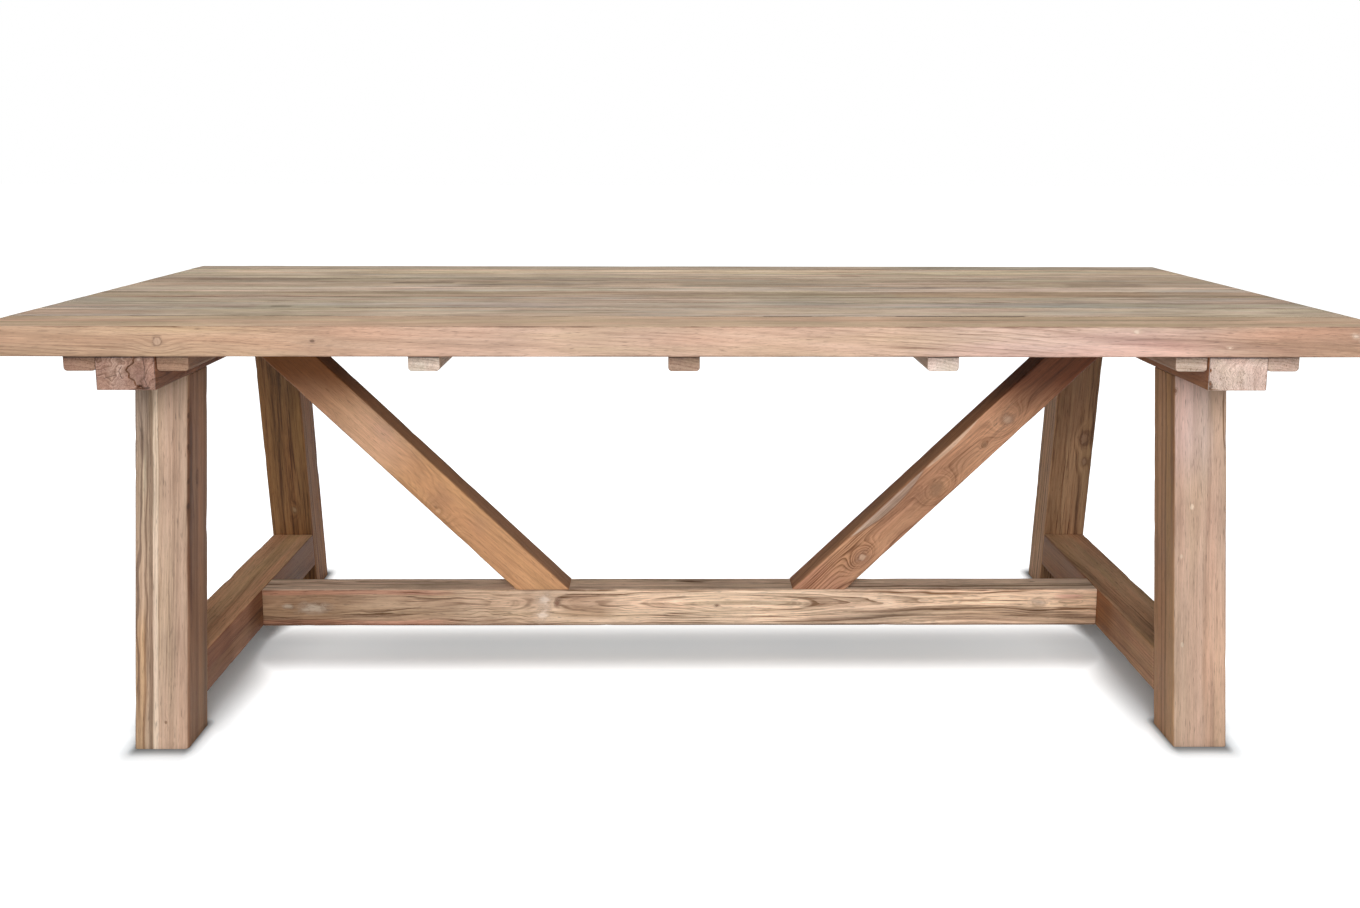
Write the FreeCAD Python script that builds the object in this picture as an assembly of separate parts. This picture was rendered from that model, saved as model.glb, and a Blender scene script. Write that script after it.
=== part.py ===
import FreeCAD, Part
import math
import os

# A-frame trestle dining table: a top of edge-joined boards on two trestles, tied by one long
# stretcher with two diagonal braces. Millimetres. +X along the length, +Y to the rear, +Z up.
# The origin is on the floor, under the middle of the top.

V = FreeCAD.Vector

# ---- Top --------------------------------------------------------------------------------------
table_height = 790.0          # floor to the upper face of the boards
top_length = 2400.0
board_thickness = 52.5
board_widths = (120.0, 110.0, 80.0, 80.0, 90.0, 85.0, 85.0, 80.0, 90.0, 100.0, 80.0)  # front first
board_arris = 1.5             # rounding of each board's upper long edges
dowel_diameter = 10.0
dowel_length = 50.0
dowel_bay_inset = 90.0        # from a batten's side to the nearest dowel in the bay beside it
edge_plug_diameter = 12.0
edge_plug_depth = 15.0
edge_plug_inset = 314.0       # from the top's left end to the one repaired knot in its front edge

# ---- Battens under the top ----------------------------------------------------------------------
batten_width = 55.0
batten_thickness = 29.5
batten_end_inset = 24.0       # from the front and rear edges of the top
batten_lower_arris = 7.0
middle_batten_spacing = 505.0 # from a trestle's centre to the batten in the middle of each half
batten_beam_gap = 1.0         # between a beam and the batten beside it

# ---- Trestles ---------------------------------------------------------------------------------
end_overhang = 250.0          # from an end of the top to the centre of the trestle under it
leg_width = 98.0              # along X, the same for legs and foot rail
leg_depth = 91.0              # square to the leg's run
leg_splay = 8.0               # degrees off upright, front to back
foot_span = 883.0             # over the outer faces of the feet, front to back
beam_width = 102.0            # along X; the beam is flush with its legs on the inner side
beam_height = 62.0
beam_end_inset = 20.0         # from the front and rear edges of the top
rail_clearance = 62.0         # floor to the underside of the foot rail
rail_height = 82.0
timber_arris = 3.0            # rounding of the timbers' long edges

# ---- Stretcher and braces -----------------------------------------------------------------------
stretcher_depth = 68.0
brace_width = 81.0            # square to the brace's run
brace_reach = 545.0           # from the foot rail to the brace's lower edge, along the stretcher

# ---- Mortises and tenons ------------------------------------------------------------------------
tenon_thickness = 32.0        # every tenon's thickness
tenon_side_clearance = 0.15
end_clearance = 1.0           # beyond the tip of every tenon, screw and bolt
leg_tenon_width = 56.0
leg_tenon_length = 40.0
rail_tenon_width = 52.0       # upright
rail_tenon_length = 48.0
stretcher_tenon_width = 50.0  # upright
stretcher_tenon_length = 25.0
brace_tenon_width = 60.0      # along X
brace_tenon_length = 18.0

# ---- Pegs ---------------------------------------------------------------------------------------
peg_diameter = 10.0
peg_blind_cover = 12.0        # wood left beyond the peg's inner end
rail_peg_rise = 13.0          # each rail peg above or below the tenon's middle
peg_clearance = 0.05          # on the radius of every peg, dowel and plug

# ---- Steel fasteners ----------------------------------------------------------------------------
fastener_clearance = 0.1      # on the radius, where a fastener's thread grips the wood
through_clearance = 0.5       # on the radius, where a shank passes freely
batten_screw_diameter = 5.0
batten_screw_head = 9.5
batten_screw_head_height = 3.0
batten_screw_bite = 32.0      # into each board
coach_screw_diameter = 8.0
coach_screw_bite = 34.0       # into the top
coach_screw_inner_y = 130.0
coach_head_across_flats = 13.0
coach_head_height = 5.5
washer_diameter = 24.0
washer_thickness = 2.0
coach_pocket_depth = 16.0
pocket_clearance = 1.5        # on the radius, round a washer
bolt_diameter = 8.0
bolt_grip = 44.0              # from the stretcher's shoulder to the barrel nut's centre
bolt_tail = 8.0               # beyond the barrel nut's centre
bolt_head_across_flats = 13.0
bolt_head_height = 5.5
bolt_pocket_depth = 17.0
bolt_cap_thickness = 6.0
barrel_nut_diameter = 14.0
barrel_nut_length = 30.0
brace_screw_diameter = 6.0
brace_screw_head = 11.0
brace_screw_head_height = 4.0
brace_foot_screw_bite = 32.0
brace_foot_screw_pocket = 30.0
brace_foot_screw_pitch = 30.0
brace_head_screw_bite = 42.0
brace_head_screw_grip = 52.0  # wood between the beam and the screw's head
brace_head_screw_pitch = 34.0

# ---- Derived places -----------------------------------------------------------------------------
top_width = sum(board_widths)
trestle_x = top_length / 2 - end_overhang
middle_batten_x = trestle_x - middle_batten_spacing
edge_plug_x = edge_plug_inset - top_length / 2
top_underside = table_height - board_thickness
batten_underside = top_underside - batten_thickness
beam_underside = top_underside - beam_height
rail_top = rail_clearance + rail_height
rail_middle = rail_clearance + rail_height / 2
splay_run = math.tan(math.radians(leg_splay))
leg_run = leg_depth / math.cos(math.radians(leg_splay))
inner_face_x = trestle_x - leg_width / 2
outer_face_x = trestle_x + leg_width / 2
leg_top_y = -foot_span / 2 + splay_run * beam_underside + leg_run / 2
beam_outer_x = inner_face_x + beam_width
inner_flank_x = inner_face_x - batten_beam_gap - batten_width / 2
outer_flank_x = beam_outer_x + batten_beam_gap + batten_width / 2
brace_rise = beam_underside - rail_top
brace_slope = brace_rise / brace_reach
brace_run = brace_width * math.hypot(brace_rise, brace_reach) / brace_rise
brace_foot_x = inner_face_x - brace_reach
brace_foot_middle = brace_foot_x - brace_run / 2

THROUGH = 10.0                # how far a cutter overshoots a face it must clear
PARALLEL = 1e-6
SIDES = (("left", -1), ("right", 1))


# ---- Plain shapes -------------------------------------------------------------------------------
def block(low, high):
    """Box between two opposite corners."""
    size = high - low
    return Part.makeBox(size.x, size.y, size.z, low)


def rod(start, direction, length, diameter):
    """Round bar from a point, along a direction."""
    return Part.makeCylinder(diameter / 2, length, start, direction)


def prism(points, run):
    """Flat outline drawn along a vector."""
    return Part.Face(Part.makePolygon(points + [points[0]])).extrude(run)


def hexagon_head(start, direction, height, across_flats):
    """Hexagonal bolt head whose first face is centred on a point."""
    radius = across_flats / math.sqrt(3)
    turns = [math.radians(60 * corner) for corner in range(6)]
    head = prism([V(radius * math.cos(turn), radius * math.sin(turn), 0) for turn in turns], V(0, 0, height))
    head.Placement = FreeCAD.Placement(start, FreeCAD.Rotation(V(0, 0, 1), direction))
    return head


def eased(shape, direction, radius, chosen=lambda middle: True):
    """Round the straight edges that run along a direction, all of them or the chosen ones."""
    direction = V(direction).normalize()
    edges = []
    for edge in shape.Edges:
        run = (edge.Vertexes[-1].Point - edge.Vertexes[0].Point).normalize()
        if abs(abs(run.dot(direction)) - 1) < PARALLEL and chosen(edge.CenterOfMass):
            edges.append(edge)
    return shape.makeFillet(radius, edges)


def mortise(corners, tip):
    """Hole for a tenon: side clearance all round, end clearance at its tip, which a unit vector gives."""
    low, high = corners
    side = V(tenon_side_clearance, tenon_side_clearance, tenon_side_clearance)
    extra = tip * (end_clearance - tenon_side_clearance)
    if tip.x + tip.y + tip.z > 0:
        high = high + extra
    else:
        low = low + extra
    return block(low - side, high + side)


def cut_all(shape, cutters):
    """Shape with every cutter that reaches it taken away."""
    near = [cutter for cutter in cutters if shape.BoundBox.intersect(cutter.BoundBox)]
    return shape.cut(near) if near else shape


def mirrored_x(shape):
    return shape.mirror(V(0, 0, 0), V(1, 0, 0))


def mirrored_y(shape):
    return shape.mirror(V(0, 0, 0), V(0, 1, 0))


def on_side(shape, side):
    """Shape modelled on the right, moved to the side asked for."""
    return shape if side > 0 else mirrored_x(shape)


def four_corners(shape):
    """Copies of a piece at the rear right corner and the three others."""
    pair = [shape, mirrored_y(shape)]
    return pair + [mirrored_x(piece) for piece in pair]


def front_face_y(z):
    """Front face of a front leg, at a height."""
    return -foot_span / 2 + splay_run * z


# ---- Places of repeated pieces --------------------------------------------------------------------
def board_edges():
    """Front and rear edge of every board, front board first."""
    edges = []
    front = -top_width / 2
    for width in board_widths:
        edges.append((front, front + width))
        front += width
    return edges


def batten_places():
    """Name and centre X of every batten."""
    places = [("batten_centre", 0.0)]
    for name, side in SIDES:
        places.append((f"batten_{name}_middle", side * middle_batten_x))
        places.append((f"batten_{name}_inner", side * inner_flank_x))
        places.append((f"batten_{name}_outer", side * outer_flank_x))
    return places


def dowel_places():
    """X of the dowels along each joint: one pair in each bay between battens, clear of their screws."""
    half = batten_width / 2 + dowel_bay_inset
    inner = [half, middle_batten_x - half, middle_batten_x + half, inner_flank_x - half,
             outer_flank_x + half]
    return sorted([-x for x in inner] + inner)


# ---- Fasteners, each with the hole that it needs ----------------------------------------------------
def dowels(extra=0.0):
    """Dowels across every joint of the top, or the holes for them when made larger."""
    middle_z = table_height - board_thickness / 2
    length = dowel_length + 2 * extra
    found = []
    for edge in board_edges()[:-1]:
        for x in dowel_places():
            start = V(x, edge[1] - length / 2, middle_z)
            found.append(rod(start, V(0, 1, 0), length, dowel_diameter + 2 * extra))
    return found


def countersunk_screw(crossing, direction, grip, bite, diameter, head, head_height):
    """Screw that crosses from one piece into the next at a point of their joint."""
    start = crossing - direction * grip
    shank = rod(start + direction * head_height, direction, grip + bite - head_height, diameter)
    cone = Part.makeCone(head / 2, diameter / 2, head_height, start, direction)
    return shank.fuse(cone).removeSplitter()


def screw_hole(crossing, direction, grip, bite, diameter, head, head_height, pocket=0.0):
    """Countersunk hole, with a pocket of the head's size before it where the head lies deep."""
    start = crossing - direction * grip
    ease = fastener_clearance
    hole = rod(start, direction, grip + bite + end_clearance, diameter + 2 * ease)
    sink = Part.makeCone(head / 2 + ease, diameter / 2 + ease, head_height, start, direction)
    hole = hole.fuse(sink)
    if pocket:
        hole = hole.fuse(rod(start - direction * pocket, direction, pocket, head + 2 * through_clearance))
    return hole


def batten_screw_spots():
    """Joint point of every batten screw: the middle of each board under each batten."""
    return [V(x, (front + rear) / 2, top_underside)
            for name, x in batten_places() for front, rear in board_edges()]


def batten_screw_sizes():
    return (batten_thickness, batten_screw_bite, batten_screw_diameter, batten_screw_head,
            batten_screw_head_height)


def batten_screws():
    return [countersunk_screw(spot, V(0, 0, 1), *batten_screw_sizes()) for spot in batten_screw_spots()]


def batten_screw_holes():
    return [screw_hole(spot, V(0, 0, 1), *batten_screw_sizes()) for spot in batten_screw_spots()]


def coach_screw_spots():
    """Foot of every coach screw's pocket in the beams: outside and inside the legs' tenons."""
    beam_end = top_width / 2 - beam_end_inset
    outer_y = (beam_end - leg_top_y + leg_tenon_width / 2) / 2
    return [V(side * trestle_x, turn * y, beam_underside + coach_pocket_depth)
            for name, side in SIDES for turn in (-1, 1) for y in (outer_y, coach_screw_inner_y)]


def coach_shank_length():
    return beam_height - coach_pocket_depth + coach_screw_bite


def coach_screws():
    """Hexagon-headed wood screws, up through the beams into the top."""
    up = V(0, 0, 1)
    found = []
    for spot in coach_screw_spots():
        seat = spot - up * washer_thickness
        shank = rod(seat, up, coach_shank_length() + washer_thickness, coach_screw_diameter)
        head = hexagon_head(seat, -up, coach_head_height, coach_head_across_flats)
        found.append(shank.fuse(head))
    return found


def washer(centre, direction, bore):
    disc = rod(centre, direction, washer_thickness, washer_diameter)
    return disc.cut(rod(centre, direction, washer_thickness, bore))


def coach_washers():
    bore = coach_screw_diameter + 2 * through_clearance
    return [washer(spot, V(0, 0, -1), bore) for spot in coach_screw_spots()]


def coach_screw_holes():
    """Pocket, free hole through the beam and gripping hole in the top, in one cutter each."""
    up = V(0, 0, 1)
    found = []
    for spot in coach_screw_spots():
        pocket = rod(spot, -up, coach_pocket_depth + THROUGH, washer_diameter + 2 * pocket_clearance)
        reach = coach_shank_length() + end_clearance
        found.append(pocket.fuse(rod(spot, up, reach, coach_screw_diameter + 2 * fastener_clearance)))
    return found


def leg_pegs(extra=0.0):
    """Pegs from each beam's outer face through the leg tenons, or their holes when made larger."""
    height = (beam_underside + batten_underside) / 2
    length = beam_width - peg_blind_cover
    start = V(beam_outer_x, leg_top_y, height)
    peg = rod(start, V(-1, 0, 0), length + extra, peg_diameter + 2 * extra)
    return four_corners(peg)


def rail_pegs(extra=0.0):
    """Pegs from each leg's outer face through the rail tenons, or their holes when made larger."""
    length = leg_width - peg_blind_cover
    found = []
    for rise in (-rail_peg_rise, rail_peg_rise):
        y = front_face_y(rail_middle) + leg_run - rail_tenon_length / 2
        start = V(outer_face_x, y, rail_middle + rise)
        found += four_corners(rod(start, V(-1, 0, 0), length + extra, peg_diameter + 2 * extra))
    return found


def bolt_seat(side):
    """Centre of the washer's seat at the bottom of the bolt's pocket, and the bolt's direction."""
    return V(side * (outer_face_x - bolt_pocket_depth), 0, rail_middle), V(-side, 0, 0)


def bolt_length():
    return leg_width - bolt_pocket_depth + bolt_grip + bolt_tail


def stretcher_bolt(side):
    seat, inwards = bolt_seat(side)
    outer = seat - inwards * washer_thickness
    shank = rod(outer, inwards, bolt_length() + washer_thickness, bolt_diameter)
    return shank.fuse(hexagon_head(outer, -inwards, bolt_head_height, bolt_head_across_flats))


def stretcher_washer(side):
    seat, inwards = bolt_seat(side)
    return washer(seat, -inwards, bolt_diameter + 2 * through_clearance)


def bolt_hole(side):
    """Pocket and free hole from the rail's outer face to the end of the bolt."""
    seat, inwards = bolt_seat(side)
    pocket = rod(seat, -inwards, bolt_pocket_depth + THROUGH, washer_diameter + 2 * peg_clearance)
    hole = rod(seat, inwards, bolt_length() + end_clearance, bolt_diameter + 2 * through_clearance)
    return pocket.fuse(hole)


def bolt_cap(side):
    """Wood disc that closes the bolt's pocket, flush with the rail."""
    seat, inwards = bolt_seat(side)
    inner = seat - inwards * (bolt_pocket_depth - bolt_cap_thickness)
    return rod(inner, -inwards, bolt_cap_thickness, washer_diameter)


def barrel_nut(side, extra=0.0):
    """Upright round nut in the stretcher; its bore is left out where it stands for the hole."""
    x = side * (inner_face_x - bolt_grip)
    if extra:
        return rod(V(x, 0, rail_clearance - THROUGH), V(0, 0, 1),
                   THROUGH + rail_height / 2 + barrel_nut_length / 2 + extra, barrel_nut_diameter + 2 * extra)
    foot = V(x, 0, rail_middle - barrel_nut_length / 2)
    body = rod(foot, V(0, 0, 1), barrel_nut_length, barrel_nut_diameter)
    bore = rod(V(x - barrel_nut_diameter, 0, rail_middle), V(1, 0, 0), 2 * barrel_nut_diameter,
               bolt_diameter + 2 * fastener_clearance)
    return body.cut(bore)


def brace_foot_screw_spots(side):
    """Two places where a screw crosses from the stretcher into the brace's foot."""
    return [V(side * (brace_foot_middle + step * brace_foot_screw_pitch), 0, rail_top) for step in (0, 1)]


def brace_foot_screw_sizes():
    return (rail_height - brace_foot_screw_pocket, brace_foot_screw_bite, brace_screw_diameter,
            brace_screw_head, brace_screw_head_height)


def brace_head_screw_spots(side):
    """Two places where a screw crosses from the brace's head into the beam."""
    height = (beam_underside + batten_underside) / 2
    return [V(side * inner_face_x, turn * brace_head_screw_pitch / 2, height) for turn in (-1, 1)]


def brace_head_screw_sizes():
    return (brace_head_screw_grip, brace_head_screw_bite, brace_screw_diameter, brace_screw_head,
            brace_screw_head_height)


def brace_foot_screws(side):
    return [countersunk_screw(spot, V(0, 0, 1), *brace_foot_screw_sizes())
            for spot in brace_foot_screw_spots(side)]


def brace_head_screws(side):
    return [countersunk_screw(spot, V(side, 0, 0), *brace_head_screw_sizes())
            for spot in brace_head_screw_spots(side)]


def brace_screw_holes(side):
    """Cutters for all four screws of one brace."""
    feet = [screw_hole(spot, V(0, 0, 1), *brace_foot_screw_sizes(), pocket=brace_foot_screw_pocket + THROUGH)
            for spot in brace_foot_screw_spots(side)]
    heads = [screw_hole(spot, V(side, 0, 0), *brace_head_screw_sizes(), pocket=brace_run)
             for spot in brace_head_screw_spots(side)]
    return feet + heads


def edge_plug(extra=0.0):
    """Round plug let into the front edge of the front board, or the hole for it."""
    start = V(edge_plug_x, -top_width / 2, table_height - board_thickness / 2)
    return rod(start, V(0, 1, 0), edge_plug_depth + extra, edge_plug_diameter + 2 * extra)


# ---- Tenons and their mortises ----------------------------------------------------------------------
def leg_tenon_corners():
    """Upright tenon on top of the front right leg."""
    half_x = tenon_thickness / 2
    half_y = leg_tenon_width / 2
    low = V(trestle_x - half_x, leg_top_y - half_y, beam_underside - leg_tenon_length / 2)
    high = V(trestle_x + half_x, leg_top_y + half_y, beam_underside + leg_tenon_length)
    return low, high


def rail_tenon_corners():
    """Tenon on the right rail's front end, from inside the leg to inside the rail."""
    shoulder = front_face_y(rail_middle) + leg_run
    half_x = tenon_thickness / 2
    half_z = rail_tenon_width / 2
    low = V(trestle_x - half_x, shoulder - rail_tenon_length, rail_middle - half_z)
    high = V(trestle_x + half_x, shoulder + rail_tenon_length, rail_middle + half_z)
    return low, high


def stretcher_tenon_corners():
    """Tenon on the stretcher's right end, from inside the stretcher to inside the rail."""
    half_y = tenon_thickness / 2
    half_z = stretcher_tenon_width / 2
    low = V(inner_face_x - stretcher_tenon_length, -half_y, rail_middle - half_z)
    high = V(inner_face_x + stretcher_tenon_length, half_y, rail_middle + half_z)
    return low, high


def brace_tenon_corners():
    """Upright tenon under the right brace's foot."""
    half_x = brace_tenon_width / 2
    half_y = tenon_thickness / 2
    low = V(brace_foot_middle - half_x, -half_y, rail_top - brace_tenon_length)
    high = V(brace_foot_middle + half_x, half_y, rail_top)
    return low, high


# ---- Timbers ----------------------------------------------------------------------------------------
def top_board(front, rear):
    """One board of the top, upper long edges eased."""
    half = top_length / 2
    board = block(V(-half, front, top_underside), V(half, rear, table_height))
    middle_z = table_height - board_thickness / 2
    return eased(board, V(1, 0, 0), board_arris, lambda middle: middle.z > middle_z)


def top_boards():
    cutters = dowels(extra=peg_clearance) + batten_screw_holes() + coach_screw_holes()
    cutters.append(edge_plug(extra=peg_clearance))
    return [cut_all(top_board(front, rear), cutters) for front, rear in board_edges()]


def batten(x):
    """One cross batten, lower long edges well rounded, with a countersunk hole under each board."""
    end_y = top_width / 2 - batten_end_inset
    half_x = batten_width / 2
    bar = block(V(x - half_x, -end_y, batten_underside), V(x + half_x, end_y, top_underside))
    middle_z = top_underside - batten_thickness / 2
    bar = eased(bar, V(0, 1, 0), batten_lower_arris, lambda middle: middle.z < middle_z)
    return cut_all(bar, batten_screw_holes())


def beam():
    """Right trestle beam, with mortises for its two legs."""
    end_y = top_width / 2 - beam_end_inset
    bar = block(V(inner_face_x, -end_y, beam_underside), V(beam_outer_x, end_y, top_underside))
    bar = eased(bar, V(0, 1, 0), timber_arris)
    hole = mortise(leg_tenon_corners(), V(0, 0, 1))
    cutters = [hole, mirrored_y(hole)]
    cutters += leg_pegs(extra=peg_clearance) + coach_screw_holes() + brace_screw_holes(1)
    return cut_all(bar, cutters)


def front_leg():
    """Front right leg: a leaning bar cut level at both ends, with its tenon and the rail's mortise."""
    outline = []
    for z, back in ((0, 0), (0, leg_run), (beam_underside, leg_run), (beam_underside, 0)):
        outline.append(V(inner_face_x, front_face_y(z) + back, z))
    bar = prism(outline, V(leg_width, 0, 0))
    bar = eased(bar, V(0, splay_run, 1), timber_arris)
    leg = bar.fuse(block(*leg_tenon_corners())).removeSplitter()
    cutters = [mortise(rail_tenon_corners(), V(0, -1, 0))]
    cutters += leg_pegs(extra=peg_clearance) + rail_pegs(extra=peg_clearance)
    return cut_all(leg, cutters)


def foot_rail():
    """Right foot rail: its shoulders lean with the legs, a tenon at each end."""
    outline = []
    for z, turn in ((rail_clearance, 1), (rail_clearance, -1), (rail_top, -1), (rail_top, 1)):
        outline.append(V(inner_face_x, turn * (front_face_y(z) + leg_run), z))
    bar = prism(outline, V(leg_width, 0, 0))
    bar = eased(bar, V(0, 1, 0), timber_arris)
    tenon = block(*rail_tenon_corners())
    rail = bar.fuse([tenon, mirrored_y(tenon)]).removeSplitter()
    cutters = [mortise(stretcher_tenon_corners(), V(1, 0, 0)), bolt_hole(1)]
    cutters += rail_pegs(extra=peg_clearance)
    return cut_all(rail, cutters)


def stretcher():
    """Long stretcher, flush with the foot rails above and below."""
    half_y = stretcher_depth / 2
    bar = block(V(-inner_face_x, -half_y, rail_clearance), V(inner_face_x, half_y, rail_top))
    bar = eased(bar, V(1, 0, 0), timber_arris)
    tenon = block(*stretcher_tenon_corners())
    bar = bar.fuse([tenon, mirrored_x(tenon)]).removeSplitter()
    hole = mortise(brace_tenon_corners(), V(0, 0, -1))
    cutters = [hole, mirrored_x(hole)]
    for name, side in SIDES:
        cutters += [bolt_hole(side), barrel_nut(side, extra=fastener_clearance)]
        cutters += brace_screw_holes(side)
    return cut_all(bar, cutters)


def brace():
    """Right brace: foot on the stretcher, head under the batten and against the beam."""
    half_y = stretcher_depth / 2
    seat_rise = batten_underside - rail_top
    upper_end_x = brace_foot_x - brace_run + seat_rise / brace_slope
    outline = [V(brace_foot_x, -half_y, rail_top),
               V(inner_face_x, -half_y, beam_underside),
               V(inner_face_x, -half_y, batten_underside),
               V(upper_end_x, -half_y, batten_underside),
               V(brace_foot_x - brace_run, -half_y, rail_top)]
    bar = prism(outline, V(0, stretcher_depth, 0))
    bar = eased(bar, V(brace_reach, 0, brace_rise), timber_arris)
    bar = bar.fuse(block(*brace_tenon_corners())).removeSplitter()
    return cut_all(bar, brace_screw_holes(1))


# ---- The whole table ----------------------------------------------------------------------------------
def timber_nodes():
    nodes = {}
    for number, board in enumerate(top_boards(), start=1):
        nodes[f"top_board_{number:02d}"] = board
    for name, x in batten_places():
        nodes[name] = batten(x)
    right = {"beam": beam(), "leg_front": front_leg(), "foot_rail": foot_rail(), "brace": brace()}
    right["leg_rear"] = mirrored_y(right["leg_front"])
    for name, side in SIDES:
        for kind, shape in right.items():
            nodes[f"{kind}_{name}"] = on_side(shape, side)
    nodes["stretcher"] = stretcher()
    return nodes


def fastener_nodes():
    sides = [side for name, side in SIDES]
    groups = {
        "board_dowels": dowels(),
        "batten_screws": batten_screws(),
        "coach_screws": coach_screws(),
        "coach_screw_washers": coach_washers(),
        "leg_pegs": leg_pegs(),
        "rail_pegs": rail_pegs(),
        "stretcher_bolts": [stretcher_bolt(side) for side in sides],
        "stretcher_bolt_washers": [stretcher_washer(side) for side in sides],
        "stretcher_barrel_nuts": [barrel_nut(side) for side in sides],
        "bolt_cover_plugs": [bolt_cap(side) for side in sides],
        "brace_foot_screws": [screw for side in sides for screw in brace_foot_screws(side)],
        "brace_head_screws": [screw for side in sides for screw in brace_head_screws(side)],
        "edge_plug": [edge_plug()],
    }
    return {name: Part.makeCompound(pieces) for name, pieces in groups.items()}


os.makedirs("parts", exist_ok=True)
for node, shape in {**timber_nodes(), **fastener_nodes()}.items():
    shape.exportStep(f"parts/{node}.step")
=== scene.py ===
import bmesh
import bpy
import math
import random
from dataclasses import dataclass
import numpy as np
from mathutils import Matrix, Vector, noise


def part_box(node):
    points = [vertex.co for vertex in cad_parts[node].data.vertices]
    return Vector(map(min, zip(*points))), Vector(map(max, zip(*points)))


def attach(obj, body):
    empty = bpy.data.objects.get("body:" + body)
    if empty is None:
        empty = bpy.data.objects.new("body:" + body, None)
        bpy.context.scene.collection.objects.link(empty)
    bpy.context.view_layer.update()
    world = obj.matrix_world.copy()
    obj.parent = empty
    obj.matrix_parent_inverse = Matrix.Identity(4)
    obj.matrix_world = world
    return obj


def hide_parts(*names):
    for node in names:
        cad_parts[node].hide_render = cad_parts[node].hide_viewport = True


# Trestle table in reclaimed teak. Metres. +X along the length, +Y to the rear, +Z up.
# Every timber is lofted along its grain with worn edges, then put in its place. Its teak is worked out
# in the wood's own space, whose X runs with the grain and whose origin is the timber's place.

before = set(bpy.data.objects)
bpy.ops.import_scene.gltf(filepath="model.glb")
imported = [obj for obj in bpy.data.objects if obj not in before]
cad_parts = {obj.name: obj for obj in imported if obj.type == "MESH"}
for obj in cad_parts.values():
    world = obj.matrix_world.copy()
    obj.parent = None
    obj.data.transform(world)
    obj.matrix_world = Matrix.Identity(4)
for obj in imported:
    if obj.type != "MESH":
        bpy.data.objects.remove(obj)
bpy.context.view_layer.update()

# ---- Camera and stage -----------------------------------------------------------------------------
IMAGE_WIDTH = 1360
IMAGE_HEIGHT = 908
SENSOR_WIDTH = 36.0
FOCAL_PIXELS = 1171.5         # focal length, in pixels of the image
LEVEL_ROW = 316.1             # image row of the lens axis, once the view is shifted
CAMERA_PLACE = Vector((-0.0247, -2.4488, 1.0906))
CAMERA_PITCH = 0.1442         # radians down
CAMERA_YAW = 0.0089           # radians to the right
CAMERA_ROLL = 0.0023
FLOOR_REACH = 30.0
FLOOR_TINT = (0.92, 0.970, 1.0)
FLOOR_BOUNCE = 0.60           # share of its paleness in the light that it sends back
# The shadows show only in zones drawn here round the stretcher, rails and feet, where the floor's glow is
# held back.
SHADOW_LINE_Y = -0.015        # middle of the soft shadow that lies below the stretcher
SHADOW_LINE_HALF = 0.035
LINE_FADE = 0.13              # how far from the stretcher's shadow the floor turns plain white
RAIL_SHADOW_HALF = 0.02       # half the width of a foot rail's darkest shadow
RAIL_FADES = (0.150, 0.065)   # the same beside it, at the front and at the rear
FEET_FADES = (0.075, 0.042)   # the same from a foot
FEET_TRIM = 0.006             # how much narrower than a foot its shadow is
FEET_Y_SHARE = 0.65           # how far a step in y counts, beside one in x, in the distance from a foot
FADE_TURNS = (-0.20, 0.05)    # between these places the fades change from the front's to the rear's
LINE_FILLS = (0.09, 0.17)     # light in the darkest shadow below the stretcher's middle and ends
LINE_TURNS = (0.45, 0.85)
FEET_FILL = 0.03              # the same beside the feet and rails
# Painted shade round the feet: how far it reaches, and the share of the floor's colour and glow left at a
# foot.
CONTACT_FADE = 0.020
CONTACT_SHADE = 0.30
WORLD_LEVEL = 0.17
CLIP_END = 200.0
# Each softbox: its name, place, the point that it faces, width and height, and watts.
SOFTBOXES = (("key_softbox", (0.0, -4.0, 2.15), (0, 0, 0.40), (4.0, 2.4), 158.0),
             ("top_softbox", (0.0, -0.2, 3.6), (0, 0, 0.5), (4.0, 3.0), 68.0))

# ---- Joinery that the frame's boxes don't give ------------------------------------------------------
LEG_SPLAY = math.radians(8)
LEG_DEPTH = 0.091
BRACE_REACH = 0.545
BRACE_WIDTH = 0.081
COACH_POCKET_YS = (0.130, 0.4055)
COACH_POCKET_DEPTH = 0.016
COACH_POCKET_RADIUS = 0.0135
BARREL_NUT_SETBACK = 0.044
BARREL_NUT_HOLE_DEPTH = 0.056
BARREL_NUT_RADIUS = 0.0072
FOOT_SCREW_PITCH = 0.030
FOOT_SCREW_POCKET = 0.030
HEAD_SCREW_PITCH = 0.034
HEAD_SCREW_GRIP = 0.052
HEAD_POCKET_RUN = 0.090
SCREW_POCKET_RADIUS = 0.006
HOLE_OVERSHOOT = 0.004
SIDES = (("left", -1), ("right", 1))


# ---- Mesh of a timber --------------------------------------------------------------------------------
QUARTERS = ((1, 1), (-1, 1), (-1, -1), (1, -1))     # corner signs, counterclockwise from +Y +Z
CORNER_POINTS = 5
FLAT_REACH = 0.86             # how near to its corners a flat side has points of its own
CAP_SHRINK = (0.97, 0.9, 0.75, 0.5, 0.25)
FINE_CAP = tuple(np.linspace(0.98, 0.03, 56))
SHARP_ANGLE = math.radians(40)
SLOW_WANDER = (0.7, 0.19)     # share and length of the slow part of an edge's wander
QUICK_WANDER = (0.3, 0.047)
KNOCK_REACH = (0.006, 0.022)
KNOCK_DEPTH = (0.3, 1.0)      # share of a timber's ding_depth
EDGE_LIMITS = (0.0006, 0.45)  # least radius of an edge, and its largest share of the half section
DIP_SCALES = (5.0, 13.0)      # dips of a face per metre, along and across the grain
DIP_SEED_STEP = 3.7           # how far apart two seeds lie in the noise, as in the next one
EDGE_SEED_STEPS = (7.31, 1.7)
CAP_TURNS = (90, 60, 30)      # degrees of the rings that round each end


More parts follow.
